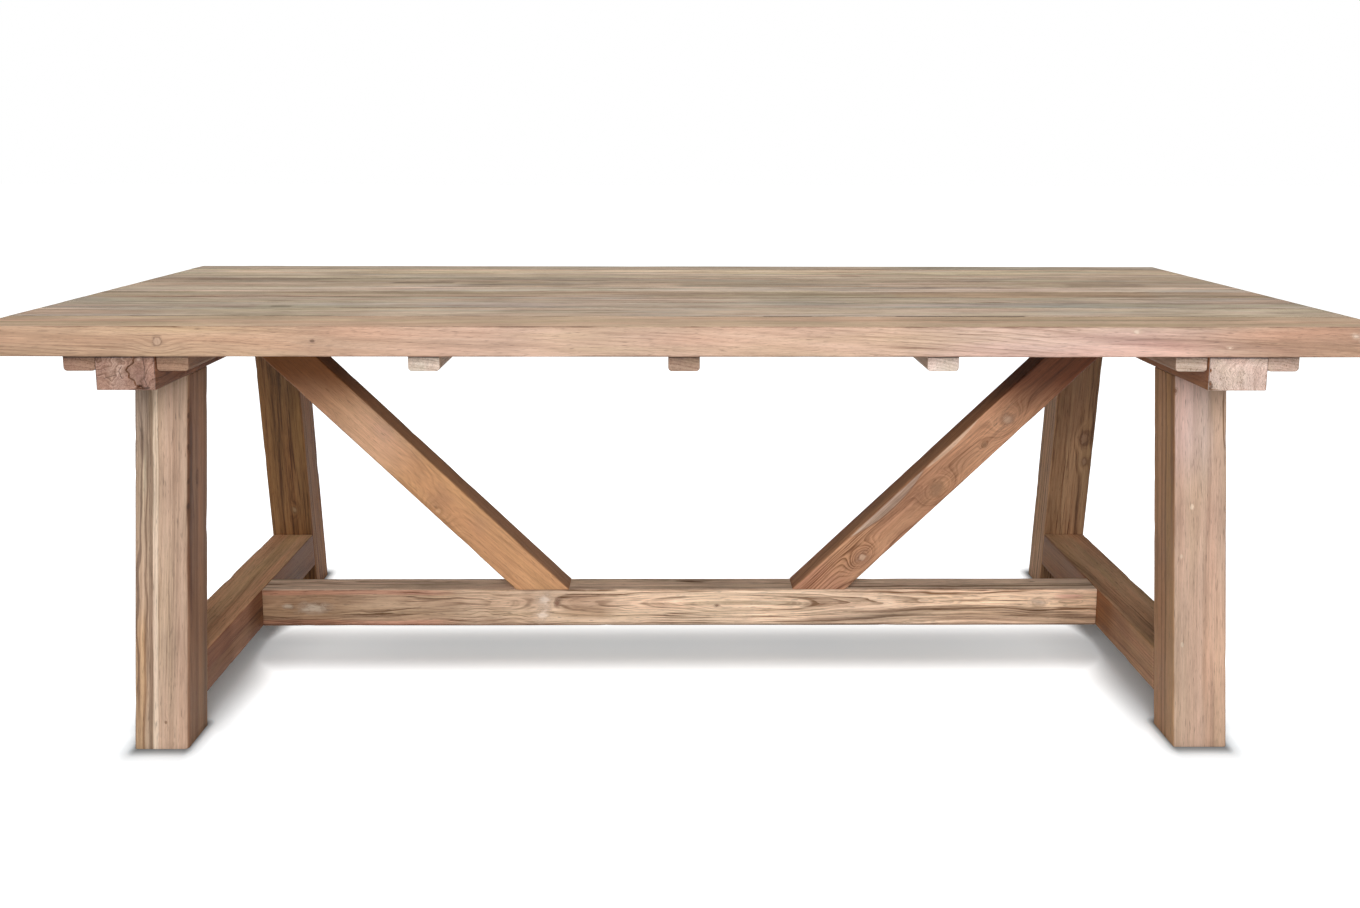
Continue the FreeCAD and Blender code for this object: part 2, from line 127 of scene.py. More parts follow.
@dataclass
class Timber:
    """One bar of wood: its place, its section, where it ends and how worn it is."""
    node: str
    place: Matrix                       # local X along the grain, Y and Z across it
    half: tuple                         # half the section along local Y and Z
    ends: tuple                         # two functions of (y, z) that give local X at either end
    arris: tuple = (0.003,) * 4         # edge radius at each of QUARTERS
    wear: float = 0.35                  # share by which the edge radius wanders
    dings: int = 4                      # knocks along each edge
    ding_depth: float = 0.003
    chips: tuple = ()                   # larger knocks: edge, place along the grain, reach and depth
    waviness: float = 0.0004            # how far a face dips below its flat
    closed_sides: tuple = ()            # directions of the sides kept flat, where boards meet
    end_arris: float = 0.0015
    step: float = 0.014                 # along the grain
    flat_points: int = 5
    cap_shrink: tuple = (CAP_SHRINK, CAP_SHRINK)     # how the rings that close each end shrink
    relief: object = None               # depth below the end face at (end, y, z)
    seed: int = 1


def section_pattern(flat_points):
    """Weights round a section: corner signs, outward directions, and each corner's share of radius."""
    signs, outward, shares = [], [], []
    for quarter, corner in enumerate(QUARTERS):
        own = [0.0] * 4
        own[quarter] = 1.0
        for step in range(CORNER_POINTS):
            turn = math.radians(90 * (quarter + step / (CORNER_POINTS - 1)))
            signs.append(corner)
            outward.append((math.cos(turn), math.sin(turn)))
            shares.append(own)
        turn = math.radians(90 * (quarter + 1))
        normal = (round(math.cos(turn)), round(math.sin(turn)))
        for along in np.linspace(-FLAT_REACH, FLAT_REACH, flat_points):
            signs.append((normal[0] - along * normal[1], normal[1] + along * normal[0]))
            outward.append(normal)
            mean = [0.0] * 4
            mean[quarter] = (1 - along) / 2
            mean[(quarter + 1) % 4] = (1 + along) / 2
            shares.append(mean)
    return np.array(signs, float), np.array(outward, float), np.array(shares, float)


def slow_noise(values, scale, seed):
    """Smooth value from -1 to 1 at each place along a line."""
    beside = [seed * step for step in EDGE_SEED_STEPS]
    return np.array([noise.noise(Vector((value / scale, *beside))) for value in values])


def edge_radii(timber, along):
    """Radius of the four long edges at every station: a slow wander and a few knocks."""
    picker = random.Random(timber.seed)
    radii = np.zeros((len(along), 4))
    for quarter, base in enumerate(timber.arris):
        seed = timber.seed * 4 + quarter
        slow = SLOW_WANDER[0] * slow_noise(along, SLOW_WANDER[1], seed)
        wander = slow + QUICK_WANDER[0] * slow_noise(along, QUICK_WANDER[1], seed + 0.5)
        radius = base * (1 + timber.wear * wander)
        for knock in range(timber.dings):
            centre = picker.uniform(along[0], along[-1])
            reach = picker.uniform(*KNOCK_REACH)
            depth = timber.ding_depth * picker.uniform(*KNOCK_DEPTH)
            radius += depth * np.exp(-((along - centre) / reach) ** 2)
        for edge, centre, reach, depth in timber.chips:
            if edge == quarter:
                radius += depth * np.exp(-((along - centre) / reach) ** 2)
        radii[:, quarter] = np.clip(radius, EDGE_LIMITS[0], min(timber.half) * EDGE_LIMITS[1])
    return radii


def stations(timber, length):
    """Share of the length, shift along the grain and inset of the section at each ring."""
    count = max(2, round(length / timber.step))
    turned = [(1 - math.sin(math.radians(turn)), 1 - math.cos(math.radians(turn))) for turn in CAP_TURNS]
    rings = [(0.0, shift, inset) for shift, inset in turned]
    rings += [(0.0, 1.0, 0.0)]
    rings += [(ring / count, 0.0, 0.0) for ring in range(1, count)]
    rings += [(1.0, -1.0, 0.0)]
    rings += [(1.0, -shift, inset) for shift, inset in reversed(turned)]
    return np.array(rings)


def bar_vertices(timber):
    """Rings of points from the start cap's edge to the end cap's edge."""
    signs, outward, shares = section_pattern(timber.flat_points)
    middle = [end(0.0, 0.0) for end in timber.ends]
    rings = stations(timber, middle[1] - middle[0])
    along = middle[0] + rings[:, 0] * (middle[1] - middle[0])
    radii = edge_radii(timber, along) @ shares.T
    half = np.array(timber.half)
    inset = np.minimum(rings[:, 2:3] * timber.end_arris, radii * 0.9)
    y = signs[:, 0] * (half[0] - radii) + outward[:, 0] * (radii - inset)
    z = signs[:, 1] * (half[1] - radii) + outward[:, 1] * (radii - inset)
    dip = np.zeros_like(y)
    length_scale, width_scale = DIP_SCALES
    own_shift = timber.seed * DIP_SEED_STEP
    for row, place in enumerate(along):
        for column in range(y.shape[1]):
            across = (y[row, column] * width_scale, z[row, column] * width_scale + own_shift)
            wave = noise.noise(Vector((place * length_scale, *across)))
            dip[row, column] = timber.waviness * (0.5 + 0.5 * wave)
    for side in timber.closed_sides:
        dip *= 1 - np.clip(outward[:, 0] * side, 0, 1) ** 4
    y -= outward[:, 0] * dip
    z -= outward[:, 1] * dip
    start = np.vectorize(timber.ends[0])(y, z)
    finish = np.vectorize(timber.ends[1])(y, z)
    x = start + rings[:, 0:1] * (finish - start) + rings[:, 1:2] * timber.end_arris
    return np.stack([x, y, z], axis=2)


def cap_rings(timber, rim, end):
    """Rings that close one end, from its rim to its middle, sunk where the end grain is broken."""
    centre = rim.mean(axis=0)
    rings = []
    for share in timber.cap_shrink[end]:
        ring = centre + (rim - centre) * share
        ring[:, 0] = np.vectorize(timber.ends[end])(ring[:, 1], ring[:, 2])
        rings.append(ring)
    centre[0] = timber.ends[end](centre[1], centre[2])
    if timber.relief:
        inwards = 1 if end == 0 else -1
        for ring in rings:
            sunk = np.array([timber.relief(end, point[1], point[2]) for point in ring])
            ring[:, 0] += inwards * sunk
        centre[0] += inwards * timber.relief(end, centre[1], centre[2])
    return rings, centre


def bar_mesh(timber):
    """Closed mesh of a timber in its own coordinates."""
    body = bar_vertices(timber)
    start_rings, start_centre = cap_rings(timber, body[0], 0)
    end_rings, end_centre = cap_rings(timber, body[-1], 1)
    rings = start_rings[::-1] + list(body) + end_rings
    width = body.shape[1]
    points = np.concatenate(rings + [start_centre[None], end_centre[None]])
    first, last = len(points) - 2, len(points) - 1
    faces = []
    for row in range(len(rings) - 1):
        for column in range(width):
            beside = (column + 1) % width
            near, far = row * width, (row + 1) * width
            faces.append((near + column, near + beside, far + beside, far + column))
    base = (len(rings) - 1) * width
    for column in range(width):
        beside = (column + 1) % width
        faces.append((first, beside, column))
        faces.append((last, base + column, base + beside))
    mesh = bpy.data.meshes.new(timber.node)
    mesh.from_pydata([tuple(point) for point in points], [], faces)
    mesh.polygons.foreach_set("use_smooth", [True] * len(mesh.polygons))
    mesh.validate()
    mesh.update()
    return mesh


def add_object(name, data):
    """New object in the scene."""
    made = bpy.data.objects.new(name, data)
    bpy.context.scene.collection.objects.link(made)
    return made


def place_timber(timber, material):
    """Timber in the scene, standing for its CAD node."""
    mesh = bar_mesh(timber)
    mesh.transform(timber.place)
    mesh.materials.append(material)
    mesh.set_sharp_from_angle(angle=SHARP_ANGLE)
    piece = add_object(timber.node + "_wood", mesh)
    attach(piece, "root")
    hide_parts(timber.node)
    return piece


# ---- Places of the timbers --------------------------------------------------------------------------
def axes(origin, along, across):
    """Matrix whose local X and Y are two directions of the table."""
    along = Vector(along).normalized()
    across = Vector(across).normalized()
    up = along.cross(across)
    turned = Matrix((along, across, up)).transposed().to_4x4()
    return Matrix.Translation(origin) @ turned


def box_middle(node):
    low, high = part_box(node)
    return (low + high) / 2, high - low


def flat_end(place):
    return lambda y, z: place


def cut_end(place, normal, point):
    """End cut by a plane of the table, given in its coordinates."""
    back = place.inverted()
    local_normal = back.to_3x3() @ Vector(normal)
    level = local_normal.dot(back @ Vector(point))
    return lambda y, z: (level - local_normal.y * y - local_normal.z * z) / local_normal.x


def lengthwise(node, **settings):
    """Straight bar along the table."""
    middle, size = box_middle(node)
    ends = (flat_end(-size.x / 2), flat_end(size.x / 2))
    place = axes(middle, (1, 0, 0), (0, 1, 0))
    return Timber(node, place, (size.y / 2, size.z / 2), ends, **settings)


def crosswise(node, **settings):
    """Straight bar from front to rear."""
    middle, size = box_middle(node)
    ends = (flat_end(-size.y / 2), flat_end(size.y / 2))
    place = axes(middle, (0, 1, 0), (-1, 0, 0))
    return Timber(node, place, (size.x / 2, size.z / 2), ends, **settings)


beam_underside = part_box("beam_right")[0].z
beam_inner_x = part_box("beam_right")[0].x
leg_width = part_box("leg_front_right")[1].x - beam_inner_x
trestle_x = beam_inner_x + leg_width / 2
foot_front_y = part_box("leg_front_right")[0].y
rail_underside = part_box("foot_rail_right")[0].z
rail_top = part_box("foot_rail_right")[1].z
batten_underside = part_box("batten_right_inner")[0].z
stretcher_half_depth = (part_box("stretcher")[1].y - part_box("stretcher")[0].y) / 2
leg_run = LEG_DEPTH / math.cos(LEG_SPLAY)
brace_slope = math.atan2(beam_underside - rail_top, BRACE_REACH)
brace_foot_middle_x = beam_inner_x - BRACE_REACH - BRACE_WIDTH / math.sin(brace_slope) / 2


def leg(name, side, turn, **settings):
    """Leaning leg; turn is -1 at the front and 1 at the rear."""
    lean = Vector((0, -turn * math.sin(LEG_SPLAY), math.cos(LEG_SPLAY)))
    foot_middle = Vector((side * trestle_x, turn * (-foot_front_y - leg_run / 2), 0))
    place = axes(foot_middle, lean, (1, 0, 0))
    ends = (cut_end(place, (0, 0, 1), (0, 0, 0)), cut_end(place, (0, 0, 1), (0, 0, beam_underside)))
    return Timber(name, place, (leg_width / 2, LEG_DEPTH / 2), ends, **settings)


def foot_rail(name, side, **settings):
    """Rail whose shoulders lean with the legs."""
    middle = Vector((side * trestle_x, 0, (rail_underside + rail_top) / 2))
    place = axes(middle, (0, 1, 0), (-1, 0, 0))
    ends = []
    for turn in (-1, 1):
        point = (0, turn * (-foot_front_y - leg_run), 0)
        ends.append(cut_end(place, (0, turn * math.cos(LEG_SPLAY), math.sin(LEG_SPLAY)), point))
    half = (leg_width / 2, (rail_top - rail_underside) / 2)
    return Timber(name, place, half, tuple(ends), **settings)


def stretcher(**settings):
    middle = Vector((0, 0, (rail_underside + rail_top) / 2))
    place = axes(middle, (1, 0, 0), (0, 1, 0))
    ends = (flat_end(-beam_inner_x), flat_end(beam_inner_x))
    half = (stretcher_half_depth, (rail_top - rail_underside) / 2)
    return Timber("stretcher", place, half, ends, **settings)


def brace(name, side, **settings):
    """Diagonal from the stretcher's top to the beam's inner face and the batten's underside."""
    rise = beam_underside - rail_top
    direction = Vector((side * BRACE_REACH, 0, rise)).normalized()
    lower_foot = Vector((side * (beam_inner_x - BRACE_REACH), 0, rail_top))
    upwards = direction.cross(Vector((0, side, 0)))
    place = axes(lower_foot + upwards * BRACE_WIDTH / 2, direction, (0, side, 0))
    foot = cut_end(place, (0, 0, 1), (0, 0, rail_top))
    against_beam = cut_end(place, (side, 0, 0), (side * beam_inner_x, 0, 0))
    under_batten = cut_end(place, (0, 0, 1), (0, 0, batten_underside))
    head = lambda y, z: min(against_beam(y, z), under_batten(y, z))
    return Timber(name, place, (stretcher_half_depth, BRACE_WIDTH / 2), (foot, head), **settings)


# ---- Holes ----------------------------------------------------------------------------------------------
HOLE_SIDES = 32


def cylinder_cutter(holes):
    """One mesh of round bars; each hole is the middle of its mouth, its direction, depth and radius."""
    shape = bmesh.new()
    for mouth, direction, depth, radius in holes:
        aim = Vector(direction).to_track_quat("Z", "Y").to_matrix().to_4x4()
        length = depth + HOLE_OVERSHOOT
        middle = Vector(mouth) + Vector(direction) * (depth - HOLE_OVERSHOOT) / 2
        bmesh.ops.create_cone(shape, cap_ends=True, segments=HOLE_SIDES, radius1=radius, radius2=radius,
                              depth=length, matrix=Matrix.Translation(middle) @ aim)
    mesh = bpy.data.meshes.new("cutter")
    shape.to_mesh(mesh)
    shape.free()
    return mesh


def drill(piece, holes):
    """Cut round holes into a piece."""
    cutter = add_object("cutter", cylinder_cutter(holes))
    cut = piece.modifiers.new("holes", "BOOLEAN")
    cut.operation = "DIFFERENCE"
    cut.solver = "EXACT"
    cut.object = cutter
    bpy.context.view_layer.update()
    drilled = bpy.data.meshes.new_from_object(piece.evaluated_get(bpy.context.evaluated_depsgraph_get()))
    piece.modifiers.clear()
    piece.data = drilled
    drilled.set_sharp_from_angle(angle=SHARP_ANGLE)
    bpy.data.objects.remove(cutter)


# ---- Shader graph --------------------------------------------------------------------------------------
class Value:
    """Output of a node, which adds, multiplies and so on like a number."""

    def __init__(self, graph, socket):
        self.graph = graph
        self.socket = socket

    def __add__(self, other):
        return self.graph.math("ADD", self, other)

    def __sub__(self, other):
        return self.graph.math("SUBTRACT", self, other)

    def __rsub__(self, other):
        return self.graph.math("SUBTRACT", other, self)

    def __mul__(self, other):
        return self.graph.math("MULTIPLY", self, other)

    def __pow__(self, power):
        return self.graph.math("POWER", self, power)

    def __abs__(self):
        return self.graph.math("ABSOLUTE", self)


class Graph:
    """Node tree of a material or the world, with short calls for the nodes that it uses."""

    def __init__(self, owner):
        owner.use_nodes = True
        self.owner = owner
        self.tree = owner.node_tree
        self.tree.nodes.clear()

    def node(self, kind, inputs=(), **settings):
        """New node, with values for some of its sockets by name or number."""
        made = self.tree.nodes.new("ShaderNode" + kind)
        for key, setting in settings.items():
            setattr(made, key, setting)
        for key, value in dict(inputs).items():
            socket = made.inputs[key]
            if isinstance(value, Value):
                self.tree.links.new(value.socket, socket)
            elif socket.type == "RGBA":
                socket.default_value = (*value, 1.0)
            else:
                socket.default_value = value
        return made

    def out(self, node, output=0):
        return Value(self, node.outputs[output])

    def math(self, operation, *values):
        return self.out(self.node("Math", enumerate(values), operation=operation))

    def vector(self, operation, *values):
        made = self.node("VectorMath", enumerate(values), operation=operation)
        scalar = operation in ("DOT_PRODUCT", "LENGTH", "DISTANCE")
        return self.out(made, "Value" if scalar else "Vector")

    def join(self, *parts):
        return self.out(self.node("CombineXYZ", enumerate(parts)))

    def split(self, vector):
        made = self.node("SeparateXYZ", {0: vector})
        return [self.out(made, axis) for axis in range(3)]

    def into(self, vector, place, origin):
        """Point or direction of the table, in the coordinates of a place."""
        inputs = {"Vector": vector, "Location": origin, "Rotation": place.to_euler()}
        return self.out(self.node("Mapping", inputs, vector_type="TEXTURE"))

    def noise(self, vector, detail=2.0, roughness=0.5):
        inputs = {"Vector": vector, "Scale": 1.0, "Detail": detail, "Roughness": roughness}
        return self.out(self.node("TexNoise", inputs))

    def stretched(self, vector, scales, detail=2.0, roughness=0.5):
        """Noise whose frequency differs along each axis, in cycles per metre."""
        return self.noise(self.vector("MULTIPLY", vector, scales), detail, roughness)

    def streaky(self, vector, scales, detail=2.0, roughness=0.5):
        """Noise with one frequency along the grain and another across it."""
        along, across = scales
        return self.stretched(vector, (along, across, across), detail, roughness)

    def smooth(self, value, low, high, to_low=0.0, to_high=1.0):
        inputs = enumerate((value, low, high, to_low, to_high))
        return self.out(self.node("MapRange", inputs, interpolation_type="SMOOTHSTEP"))

    def ramp(self, value, *stops):
        made = self.node("ValToRGB", {0: value})
        ramp = made.color_ramp
        while len(ramp.elements) < len(stops):
            ramp.elements.new(1.0)
        for element, (position, colour) in zip(ramp.elements, stops):
            element.position = position
            element.color = (*colour, 1.0)
        return self.out(made)

    def mix(self, factor, first, second, blend="MIX"):
        made = self.node("Mix", {0: factor, 6: first, 7: second}, data_type="RGBA", blend_type=blend)
        return self.out(made, 2)

    def bump(self, height, strength, distance):
        return self.out(self.node("Bump", {"Height": height, "Strength": strength, "Distance": distance}))

    def surface(self, colour, roughness, normal, constants=()):
        """Material of one shader, with constants on the shader's own sockets."""
        inputs = {"Base Color": colour, "Roughness": roughness, "Normal": normal, **dict(constants)}
        return self.finish(self.node("BsdfPrincipled", inputs))

    def finish(self, shader):
        kind = "OutputWorld" if isinstance(self.owner, bpy.types.World) else "OutputMaterial"
        self.node(kind, {"Surface": self.out(shader)})
        return self.owner


# ---- Teak ----------------------------------------------------------------------------------------------
FIGURE_GAIN = 1.5
VEIN_GAIN = 0.9
STREAK_GAIN = 0.8
HAIR_GAIN = 0.8
LINE_GAIN = 0.38
SCRATCH_GAIN = 0.6
KNOT_RINGS = 380.0            # per metre
RING_SEED_STEP = 3.1
# Levels between which a mark or a face sets in.
FACING = (0.55, 0.85)
END_GRAIN = (0.60, 0.85)
PORE_LEVELS = (0.60, 0.74)
FLECK_LEVELS = (0.62, 0.76)
SCRATCH_LEVELS = (0.63, 0.72)
PATCH_LEVELS = (0.40, 0.62)
COOL_LEVELS = (0.50, 0.66)
LATE_RISE = (0.45, 0.88)      # shares of a growth ring over which it darkens
LATE_FALL = (0.92, 1.0)
# Gains of the wood's shade and relief.
FIBRE_SHADE = (0.66, 0.70)    # least, and how far the noise adds to it
BLOTCH_SHADE = (0.61, 0.80)
PORE_SHADE = 0.22
FLECK_SHADE = 0.35
ROUGHNESS = (0.52, 0.24)
RELIEF_DEPTH = 0.0011
# Frequencies of the wood's noises, in cycles per metre along and across the grain.
WANDER = (1.9, 9.0)
RIPPLE = (9.0, 40.0)
RAGGED = (6.0, 30.0)
KNOT_BEND = (70.0, 110.0)
CRACK_BEND = (0.0, 330.0)
EDGE_BEND = (16.0, 40.0)
STREAKS = (5.0, 170.0)
HAIRS = (16.0, 430.0)
PATCHES = (3.0, 25.0)
SCRATCHES = (7.0, 310.0)
WARMTH = (2.2, 24.0)
COOLNESS = (3.1, 17.0)
FIBRES = (28.0, 900.0)
PORES = (75.0, 1500.0)
FLECKS = (42.0, 400.0)
BLOTCHES = (5.0, 16.0)
DENTS = (9.0, 60.0)
# Colour casts of the wood.
OLIVE_CAST = (0.94, 1.0, 0.91)
NO_CAST = (1.0, 1.0, 1.0)
PINK_CAST = (1.08, 0.96, 0.95)
GREY_CAST = (0.86, 0.95, 1.08)
# Directions in a timber's own space; a beam's, batten's or rail's front end looks to FRONT_END.
FRONT_END = (-1, 0, 0)
REAR_END = (1, 0, 0)
PLUS_Y = (0, 1, 0)
MINUS_Y = (0, -1, 0)
PLUS_Z = (0, 0, 1)
MINUS_Z = (0, 0, -1)
EVERY_FACE = (0, 0, 0)
FAR = 9                       # past either end of a timber


@dataclass
class Swell:
    """Place where the rings bulge: nested ovals on a face, or the swirl beside a knot."""
    centre: tuple
    reach: tuple
    height: float


@dataclass
class Knot:
    """Round knot, pin knot or filled hole on a face; also painted shade in a chip, or the painted shadow of
    the gap round a plug.
    """
    centre: tuple
    radius: float
    rim: tuple
    middle: tuple
    swirl: float = 0.0                  # how far it lifts the rings round itself into circles
    spread: float = 4.5                 # how many radii along the grain they part round it
    parting: float = 0.9                # how far they part
    length: float = 1.5                 # its own length along the grain, by its width


@dataclass
class Band:
    """Strip of another colour along the grain, such as sapwood, a stain, a crack or painted shade; the grain
    shows.
    """
    across: str                         # "y", "z" or "height", which is the table's own
    face: tuple                         # outward direction of the only face that shows it
    centre: float
    half: float
    soft: float
    colour: tuple
    strength: float = 1.0
    start: float = -FAR
    end: float = FAR
    fade: float = 0.02                  # along the grain
    ragged: float = 0.006
    bow: tuple = (0.0, 0.0)             # where along the grain it crests, and how fast it falls away


ALL_LONG = (-FAR, FAR, 0.02)            # start, end and fade of a band as long as its timber


def strips(across, face, *rows):
    """Bands on one face. A row is centre, half, soft, colour, strength, start, end, fade, ragged and bow."""
    return [Band(across, face, *row) for row in rows]


def stretches(face, *rows):
    """Bands as wide as their face. A row is colour, strength, start, end and fade."""
    return [Band("z", face, 0.0, 0.05, 0.01, *row) for row in rows]


@dataclass
class Tint:
    """Shares by which the colour changes on the face that looks in a direction."""
    direction: tuple
    shares: tuple


@dataclass
class Check:
    """Thin crack on the front end of a timber, as points across the grain."""
    half: float
    colour: tuple
    points: tuple


@dataclass
class Look:
    base: tuple
    dark: tuple = (0.34, 0.26, 0.20)    # shares of the base in the darkest and the palest wood
    pale: tuple = (1.36, 1.46, 1.56)
    pith: tuple = (0.10, -0.12)         # the rings' centre across the grain
    taper: float = 0.02                 # how fast the rings widen along the grain
    figure: float = 95.0                # broad bands per metre of ring distance
    veins: float = 300.0                # thin brown and pale lines per metre
    lines: float = 190.0                # growth rings per metre
    line_strength: float = 0.35
    wander: float = 0.010
    ripple: float = 0.0035
    contrast: float = 0.5               # of the broad bands
    streaks: float = 0.45               # of the thin lines
    hue: float = 0.4
    grey: float = 0.0                   # bluish weathered patches
    swells: tuple = ()
    knots: tuple = ()
    bands: tuple = ()
    tints: tuple = ()
    edge: tuple = (0.74, 0.68, 0.63)
    edge_reach: float = 0.004
    end_lines: float = 0.1              # how far the rings show on the end grain
    checks: tuple = ()                  # cracks on the front end


def product(colour, shares):
    return tuple(value * share for value, share in zip(colour, shares))


def ratio(wanted, own):
    """Shares that turn one colour into another."""
    return tuple(new / old for new, old in zip(wanted, own))


def bell(g, place, centre, reach):
    """1 at a point, falling smoothly to 0 over a reach along each axis."""
    scaled = g.vector("DIVIDE", g.vector("SUBTRACT", place, centre), reach)
    return g.math("EXPONENT", g.vector("DOT_PRODUCT", scaled, scaled) * -1.0)


def ring_value(look, spot):
    """Ring distance at a point, with the noise at its mean."""
    x, y, z = spot
    value = math.hypot(y - look.pith[0], z - look.pith[1]) + x * look.taper + look.wander + look.ripple / 2
    for swell in look.swells:
        away = sum(((place - middle) / reach) ** 2
                   for place, middle, reach in zip(spot, swell.centre, swell.reach))
        value += swell.height * math.exp(-away)
    return value


def ring_distance(g, look, place, noisy):
    """Distance from the pith, bent slowly along the grain, swollen in places and parted round knots."""
    x, y, z = g.split(place)
    distance = g.math("SQRT", (y - look.pith[0]) ** 2 + (z - look.pith[1]) ** 2)
    distance += x * look.taper
    distance += g.streaky(noisy, WANDER, 1.0) * (look.wander * 2)
    distance += g.streaky(noisy, RIPPLE) * look.ripple
    for swell in look.swells:
        distance += bell(g, place, swell.centre, swell.reach) * swell.height
    for knot in look.knots:
        along = knot.radius * knot.spread
        near = bell(g, place, knot.centre, (along, along * 0.5, along * 0.5))
        distance += (ring_value(look, knot.centre) - distance) * (near * knot.parting)
        eye = bell(g, place, knot.centre, (knot.radius * 3.0, knot.radius * 1.9, knot.radius * 1.9))
        distance += eye * knot.swirl
    return distance


def along_rings(g, distance, frequency, x, along, seed):
    """Noise about 0 that keeps its value along a ring and changes slowly with the grain."""
    return g.noise(g.join(distance * frequency, x * along, seed * RING_SEED_STEP), 3.0, 0.6) - 0.5


def facing(g, normal, direction):
    """1 on the face that looks in a direction, 0 elsewhere."""
    return g.smooth(g.vector("DOT_PRODUCT", normal, direction), *FACING)


def add_bands(g, look, colour, place, normal, noisy, height):
    x, y, z = g.split(place)
    ways = {"y": y, "z": z, "height": height}
    uneven = g.streaky(noisy, RAGGED) - 0.5
    for band in look.bands:
        across = uneven * (band.ragged * 2) + ways[band.across]
        if any(band.bow):
            across += (x - band.bow[0]) ** 2 * band.bow[1]
        away = abs(across - band.centre)
        amount = g.smooth(away, band.half, band.half + band.soft, band.strength, 0.0)
        if band.start > -FAR:
            amount *= g.smooth(x, band.start, band.start + band.fade)
        if band.end < FAR:
            amount *= g.smooth(x, band.end - band.fade, band.end, 1.0, 0.0)
        if any(band.face):
            amount *= facing(g, normal, band.face)
        colour = g.mix(amount, colour, ratio(band.colour, look.base), "MULTIPLY")
    return colour


def add_knots(g, look, colour, place):
    """Dark rims, inner rings and hearts of the knots."""
    for knot in look.knots:
        radius = knot.radius
        flat = g.vector("MULTIPLY", g.vector("SUBTRACT", place, knot.centre), (1 / knot.length, 1.0, 1.0))
        away = (g.streaky(place, KNOT_BEND) - 0.5) * (radius * 1.7) + g.vector("LENGTH", flat)
        inner = g.smooth(g.math("FRACT", away * KNOT_RINGS), 0.2, 0.9, 0.35, 0.9)
        rim = g.smooth(away, radius * 0.7, radius * 1.7, 1.0, 0.0)
        heart = g.smooth(away, radius * 0.2, radius * 0.9, 0.85, 0.0)
        colour = g.mix(rim * inner, colour, knot.rim)
        colour = g.mix(heart, colour, knot.middle)
    return colour


def line_distance(g, y, z, points):
    """Distance from a bent line across the grain."""
    nearest = 1.0
    for (ya, za), (yb, zb) in zip(points, points[1:]):
        run = Vector((yb - ya, zb - za, 0.0))
        away = g.join(y - ya, z - za, 0.0)
        share = g.vector("DOT_PRODUCT", away, run / run.length_squared)
        share = g.math("MINIMUM", g.math("MAXIMUM", share, 0.0), 1.0)
        beside = g.join(share * run.x, share * run.y, 0.0)
        nearest = g.math("MINIMUM", g.vector("DISTANCE", away, beside), nearest)
    return nearest


def add_checks(g, look, colour, place, normal):
    """Cracks with ragged sides on the front end."""
    x, y, z = g.split(place)
    ragged = g.streaky(place, CRACK_BEND) - 0.5
    at_front = facing(g, normal, FRONT_END)
    for check in look.checks:
        away = ragged * (check.half * 2.5) + line_distance(g, y, z, check.points)
        amount = g.smooth(away, check.half * 0.6, check.half * 1.8, 0.9, 0.0)
        colour = g.mix(amount * at_front, colour, check.colour)
    return colour


def edge_wear(g, place, half, noisy, reach):
    """1 on the long edges of a section, fading unevenly into the faces."""
    x, y, z = g.split(place)
    away = g.math("SQRT", (half[0] - abs(y)) ** 2 + (half[1] - abs(z)) ** 2) + reach * 0.8
    away -= g.streaky(noisy, EDGE_BEND, 3.0) * (reach * 1.6)
    return g.smooth(away, 0.0, reach, 1.0, 0.0)


def wood_tone(g, look, distance, noisy, end_grain, seed):
    """Tone from 0, dark, to 1, pale, of the figure, veins, streaks and growth rings; and the rings alone."""
    x = g.split(noisy)[0]
    figure = along_rings(g, distance, look.figure, x, 0.55, seed)
    vein = along_rings(g, distance, look.veins, x, 3.0, seed + 40)
    streak = g.streaky(noisy, STREAKS, 2.0, 0.6) - 0.5
    hair = g.streaky(noisy, HAIRS, 2.0, 0.6) - 0.5
    tone = figure * (FIGURE_GAIN * look.contrast) + 0.5
    for thin, gain in ((vein, VEIN_GAIN), (streak, STREAK_GAIN), (hair, HAIR_GAIN)):
        tone += thin * (gain * look.streaks)
    ring = g.math("FRACT", figure * 1.7 + distance * look.lines)
    late = g.smooth(ring, *LATE_RISE) * g.smooth(ring, *LATE_FALL, 1.0, 0.0)
    patchy = g.smooth(g.streaky(noisy, PATCHES, 1.0), *PATCH_LEVELS, 0.1, 1.0)
    scratch = g.smooth(g.streaky(noisy, SCRATCHES, 1.0), *SCRATCH_LEVELS)
    tone -= scratch * patchy * (SCRATCH_GAIN * look.streaks)
    late *= g.math("MAXIMUM", patchy, end_grain)
    tone -= late * (end_grain * look.end_lines + look.line_strength) * LINE_GAIN
    return tone, late


def casts(g, look, colour, noisy):
    """Olive, pink and bluish-grey drifts of colour, long with the grain."""
    warmth = g.streaky(noisy, WARMTH)
    cast = g.ramp(warmth, (0.34, OLIVE_CAST), (0.50, NO_CAST), (0.66, PINK_CAST))
    colour = g.mix(look.hue, colour, cast, "MULTIPLY")
    if look.grey:
        cool = g.smooth(g.streaky(noisy, COOLNESS), *COOL_LEVELS, 0.0, look.grey)
        colour = g.mix(cool, colour, GREY_CAST, "MULTIPLY")
    return colour


